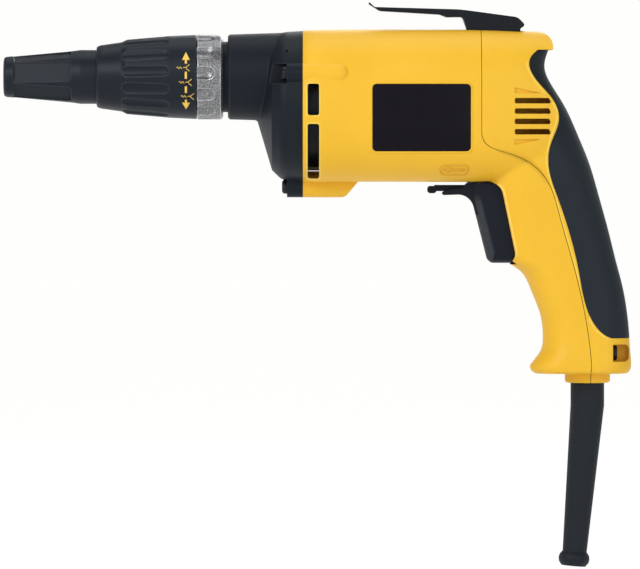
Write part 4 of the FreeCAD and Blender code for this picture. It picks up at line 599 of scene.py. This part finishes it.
def direction_sign(shape):
    """Raised oval with an arrow towards the nose."""
    x0, x1, z0, z1 = 209.8 * MM, 223.4 * MM, -46.9 * MM, -42.1 * MM
    r = (z1 - z0) / 2
    bead(shape, rounded_outline(x0, x1, z0, z1, r * 0.98), 0.42 * MM, 0.6 * MM)
    middle = (z0 + z1) / 2
    tip = x0 + 1.6 * MM
    neck = tip + 3.0 * MM
    end = x1 - 1.8 * MM
    head, shaft = 1.35 * MM, 0.55 * MM
    arrow = [(tip, middle), (neck, middle + head), (neck, middle + shaft), (end, middle + shaft),
             (end, middle - shaft), (neck, middle - shaft), (neck, middle - head)]
    steps = 6
    fine = []
    for (ax, az), (bx, bz) in zip(arrow, arrow[1:] + arrow[:1]):
        fine += [(ax + (bx - ax) * i / steps, az + (bz - az) * i / steps) for i in range(steps)]
    bead(shape, fine, 0.3 * MM, 0.5 * MM)


def vent_rims(shape):
    """Raised lips round the front vents, kept within the width of the housing."""
    x0, x1 = 146.4 * MM, 151.9 * MM
    out = 0.45 * MM
    for z0, z1 in ((-18.4 * MM, -3.4 * MM), (-48.8 * MM, -22.6 * MM)):
        bead(shape, rounded_outline(x0 - out, x1 + out, z0 - out, z1 + out, 1.5 * MM), 0.42 * MM, 0.3 * MM)
    widest = cad_box[0][1] + 0.02 * MM
    for vertex in shape.verts:
        vertex.co.y = max(vertex.co.y, widest)
    both_sides(shape)


GRIP_EDGE = [(252.6, 7.5), (252.6, 4.6), (256.5, -2.4), (265.2, -13.2), (266.8, -20.1), (262.9, -32.0),
             (261.7, -42.0), (266.0, -57.2), (276.7, -94.5), (283.2, -117.6), (287.5, -122.9), (291.0, -125.1)]
TRIGGER_EDGE = [(237.5, -52.0), (238.6, -53.0), (239.8, -55.0), (240.6, -58.0), (242.2, -66.0), (243.9, -74.0),
                (245.6, -82.0), (246.1, -85.0), (245.9, -86.6)]
SEAM = [(229.6, 20.0), (229.6, 0.0), (229.6, -14.0), (229.6, -27.0), (232.1, -32.4), (240.4, -36.0),
        (251.9, -40.6), (260.6, -48.8), (266.9, -65.4), (274.4, -92.0), (280.1, -117.5), (282.5, -137.0)]


def grip_lip(shape):
    """Thin lip of the cover along the edge of the rubber grip."""
    bead(shape, beside(smooth_path(GRIP_EDGE), 0.75 * MM), 0.5 * MM, 0.3 * MM, closed=False)
    both_sides(shape)


def trigger_lip(shape):
    """Thin lip of the case behind the trigger."""
    bead(shape, beside(smooth_path(TRIGGER_EDGE), -0.68 * MM), 0.42 * MM, 0.42 * MM, closed=False)
    both_sides(shape)


def trigger_gap_shade_strips(shape):
    """Dark strips on the housing that close the gaps over and under the trigger, as painted shade in those gaps."""
    strips = [(223.2, 237.0, -10.0, -8.4, -51.08, -50.2),
              (223.2, 237.0, 8.4, 10.0, -51.08, -50.2),
              (243.9, 248.0, -3.5, 3.5, -90.3, -89.62)]
    for x0, x1, y0, y1, z0, z1 in strips:
        low, high = ([[Vector((x * MM, y * MM, z * MM)) for x in (x0, x1)] for y in (y0, y1)] for z in (z0, z1))
        plate(shape, low, high)


def seam_shade_tongue(shape):
    """Dark tongue behind the seam of the two halves, inside their wall, as painted shade in the seam's gap."""
    path = smooth_path(SEAM)
    half = 1.0 * MM
    pairs = list(zip(beside(path, half), beside(path, -half)))
    low, high = ([[on_barrel(x, z, lift) for x, z in pair] for pair in pairs] for lift in (-2.6 * MM, -1.9 * MM))
    plate(shape, low, high)
    both_sides(shape)


# Painted shade on the sign, painted highlight on the lips, and black strips and tongue as painted shade in the gaps.
piece("direction_sign", mesh_of("direction_sign", direction_sign), "housing", shaded_sign_yellow)
piece("vent_rims", mesh_of("vent_rims", vent_rims), "housing", highlit_lip_yellow)
piece("grip_lip", mesh_of("grip_lip", grip_lip), "housing", highlit_lip_yellow)
piece("trigger_lip", mesh_of("trigger_lip", trigger_lip), "housing", highlit_trigger_lip_yellow)
piece("trigger_gap_shade_strips", mesh_of("trigger_gap_shade_strips", trigger_gap_shade_strips), "housing", nose_black)
piece("seam_shade_tongue", mesh_of("seam_shade_tongue", seam_shade_tongue), "housing", nose_black)


# Pieces that ride on the lever and on the motor

def lever_ribs(shape):
    """Ribs across the sides of the reversing lever's tip."""
    side, half, proud, steps = -3.5, 0.3, 0.28, 6
    heights = (-52.9, -53.3, -54.2, -55.1, -55.5)
    for x in (204.9, 205.8, 206.7, 207.6):
        rows = []
        for z in heights:
            swell = 0.0 if z in (heights[0], heights[-1]) else proud
            turns = [math.pi * i / steps for i in range(steps + 1)]
            rows.append([Vector(((x + half * math.cos(a)) * MM, (side - swell * math.sin(a)) * MM, z * MM))
                         for a in turns])
        capped(shape, rows)
    both_sides(shape)


def fan_hoop(shape):
    """Hoop round the fan's blades, with rounded edges."""
    axis_z, steps = -14.1, 96
    profile = [(146.6, 28.0), (146.6, 29.1), (147.0, 29.4), (152.4, 29.4), (152.8, 29.1), (152.8, 28.4),
               (152.4, 28.0), (147.0, 27.8)]
    rows = []
    for step in range(steps + 1):
        a = 2 * math.pi * step / steps
        rows.append([Vector((x * MM, r * MM * math.cos(a), (r * math.sin(a) + axis_z) * MM)) for x, r in profile])
    quads(shape, rows, closed=True)
    bmesh.ops.remove_doubles(shape, verts=shape.verts, dist=1e-7)


piece("lever_ribs", mesh_of("lever_ribs", lever_ribs), "reverser", trigger_black)
piece("fan_hoop", mesh_of("fan_hoop", fan_hoop), "armature", nose_black)


# Springs

def springy(node, body):
    """Coils that stand for a spring: a copy of its solid in spring wire, riding on the body, with the solid itself
    hidden.
    """
    coils = nodes[node].data.copy()
    coils.materials.clear()
    made = piece(node + "_coils", coils, body, wire_steel)
    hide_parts(node)
    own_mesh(made)


springy("clutch_spring", "clutch")
springy("trigger_return_spring", "housing")


# Printed depth sign on the collar, in arc length s round the collar and x along it from the sign's middle

SIGN_X = 88.0 * MM
BAND_START, BAND_END = 79.9 * MM, 92.9 * MM
BAND_RADIUS, BAND_FLARE = 19.7, 0.6
INK_HALF = 0.05 * MM


def collar_point(s, x, lift):
    x = SIGN_X + x
    radius = (BAND_RADIUS + BAND_FLARE * (x - BAND_START) / (BAND_END - BAND_START)) * MM + lift
    angle = s / (20.0 * MM)
    return Vector((x, -radius * math.cos(angle), radius * math.sin(angle)))


def inked(shape, pairs):
    """Film of ink along pairs of points (s, x), one on each edge of the film."""
    low, high = ([[collar_point(s, x, lift) for s, x in pair] for pair in pairs] for lift in (-INK_HALF, INK_HALF))
    plate(shape, low, high)


def collar_patch(shape, s0, s1, left, right):
    """Patch of ink from s0 to s1, between two edges x given at its ends."""
    steps = max(2, int(abs(s1 - s0) / (0.25 * MM)))
    pairs = []
    for i in range(steps + 1):
        share = i / steps
        s = s0 + (s1 - s0) * share
        pairs.append([(s, edge[0] + (edge[1] - edge[0]) * share) for edge in (left, right)])
    inked(shape, pairs)


def ink_line(shape, points, width):
    """Thin line of ink through points (s, x) of the collar's band."""
    half = width / 2
    pairs = []
    for i, (s, x) in enumerate(points):
        along = direction(points, i)
        pairs.append([(s - along.y * half, x + along.x * half), (s + along.y * half, x - along.x * half)])
    inked(shape, pairs)


def screw_sign(shape, s, x):
    """Small screw lying along the band: a wavy shank and a flared head."""
    thread = [(s + 0.5 * MM * math.sin(0.9 * i), x - 4.4 * MM + 0.2 * MM * i) for i in range(14)]
    ink_line(shape, thread, 0.26 * MM)
    ink_line(shape, [(s, x - 1.3 * MM), (s + 0.25 * MM, x - 0.5 * MM), (s, x + 0.2 * MM)], 0.32 * MM)
    for way in (1, -1):
        ink_line(shape, [(s, x), (s + way * 0.8 * MM, x + 0.6 * MM), (s + way * 1.1 * MM, x + 1.2 * MM),
                         (s + way * 1.7 * MM, x + 1.7 * MM)], 0.28 * MM)


def depth_sign(shape):
    """Arrow up and down, broken by screws that stand more and more deep."""
    middle, tip, head, half = -2.5 * MM, 15.1 * MM, 4.3 * MM, 1.85 * MM
    thin = 0.02 * MM
    line = 0.52 * MM
    for way in (1, -1):
        collar_patch(shape, middle + way * tip, middle + way * (tip - head), (-thin, -half), (thin, half))
    for s0, s1 in ((10.9, 8.9), (4.9, 1.5), (-2.1, -5.4), (-9.1, -10.9)):
        collar_patch(shape, middle + s0 * MM, middle + s1 * MM, (-line, -line), (line, line))
    for s, x in ((6.8, 0.0), (-0.2, 1.1), (-7.3, 2.1)):
        screw_sign(shape, middle + s * MM, x * MM)


piece("depth_sign", mesh_of("depth_sign", depth_sign), "collar", ink, smooth=False)


# Stage: pale floor and backdrop in one, soft lamps, camera

def bowl(shape):
    """Round floor that curves up into a wall on all sides."""
    floor, cove, wall_top, steps = 7.0, 0.8, 2.6, 64
    profile = [(0.0, 0.0), (1.0, 0.0), (3.0, 0.0), (floor, 0.0)]
    profile += [(floor + cove * math.sin(math.radians(a)), cove - cove * math.cos(math.radians(a)))
                for a in range(10, 91, 10)]
    profile += [(floor + cove, wall_top)]
    low = cad_box[0].z - 0.6 * MM
    rows = []
    for step in range(steps + 1):
        a = 2 * math.pi * step / steps
        rows.append([Vector((r * math.cos(a), r * math.sin(a), low + z)) for r, z in profile])
    quads(shape, rows)
    bmesh.ops.remove_doubles(shape, verts=shape.verts, dist=1e-6)


def stage():
    """The bowl, shown near white to the camera and to reflections, with some of the object's shadow kept."""
    mesh = mesh_of("stage", bowl)
    sweep = placed("stage", mesh)
    m = Finish("pale sweep")
    seen = m.node("ShaderNodeLightPath", output="Is Camera Ray")
    for kind in ("Is Glossy Ray", "Is Transmission Ray"):
        seen = seen + m.node("ShaderNodeLightPath", output=kind)
    seen = seen.above(0.4, 0.6)
    tone = m.blend((0.86, 0.86, 0.85, 1.0), (0.9, 0.9, 0.89, 1.0), m.noise(0.4, 2.0))
    m.done(Base_Color=tone, Roughness=0.8)
    glow = m.node("ShaderNodeEmission", {}, {"Color": (1.0, 1.0, 0.985, 1.0), "Strength": 1.07})
    mixed = m.node("ShaderNodeMixShader", {}, {0: seen * 0.905, 1: Value(m, m.shader.outputs[0]), 2: glow})
    m.feed(m.tree.nodes["Material Output"].inputs["Surface"], mixed)
    mesh.materials.append(m.material)
    mesh.shade_smooth()


def aim(made, stand, target):
    made.location = stand
    made.rotation_mode = "QUATERNION"
    made.rotation_quaternion = (Vector(target) - Vector(stand)).to_track_quat("-Z", "Y")


def lamp(name, stand, target, size, power):
    data = bpy.data.lights.new(name, "AREA")
    data.shape = "RECTANGLE"
    data.size, data.size_y = size
    data.energy = power
    aim(placed(name, data), stand, target)


def lights():
    middle = (0.16, 0.0, -0.06)
    lamp("key lamp", (-0.55, -1.15, 0.75), middle, (0.9, 0.7), 12.0)
    lamp("fill lamp", (0.95, -1.1, 0.1), middle, (0.8, 0.9), 4.0)
    lamp("top lamp", (0.2, 0.25, 1.2), middle, (1.2, 0.8), 5.0)
    lamp("back lamp", (0.5, 1.3, 0.55), middle, (0.9, 0.7), 7.0)
    world = bpy.data.worlds.new("studio")
    bpy.context.scene.world = world
    world.use_nodes = True
    back = world.node_tree.nodes["Background"]
    back.inputs["Color"].default_value = (1.0, 1.0, 1.0, 1.0)
    back.inputs["Strength"].default_value = 0.30


def camera():
    """Side view of the photograph, from level with the barrel."""
    width, height, pixel = 640, 569, 0.482 * MM
    nose_column, axis_row = 4, 77
    middle = Vector(((width / 2 - nose_column) * pixel, 0.0, (axis_row - height / 2) * pixel))
    stand = Vector((middle.x, -4.0, -0.020))
    data = bpy.data.cameras.new("camera")
    data.sensor_width = 36.0
    data.lens = data.sensor_width * (middle - stand).length / (width * pixel)
    data.clip_end = 20.0
    made = placed("camera", data)
    aim(made, stand, middle)
    bpy.context.scene.camera = made


stage()
lights()
camera()
bpy.context.scene.view_settings.view_transform = "Standard"
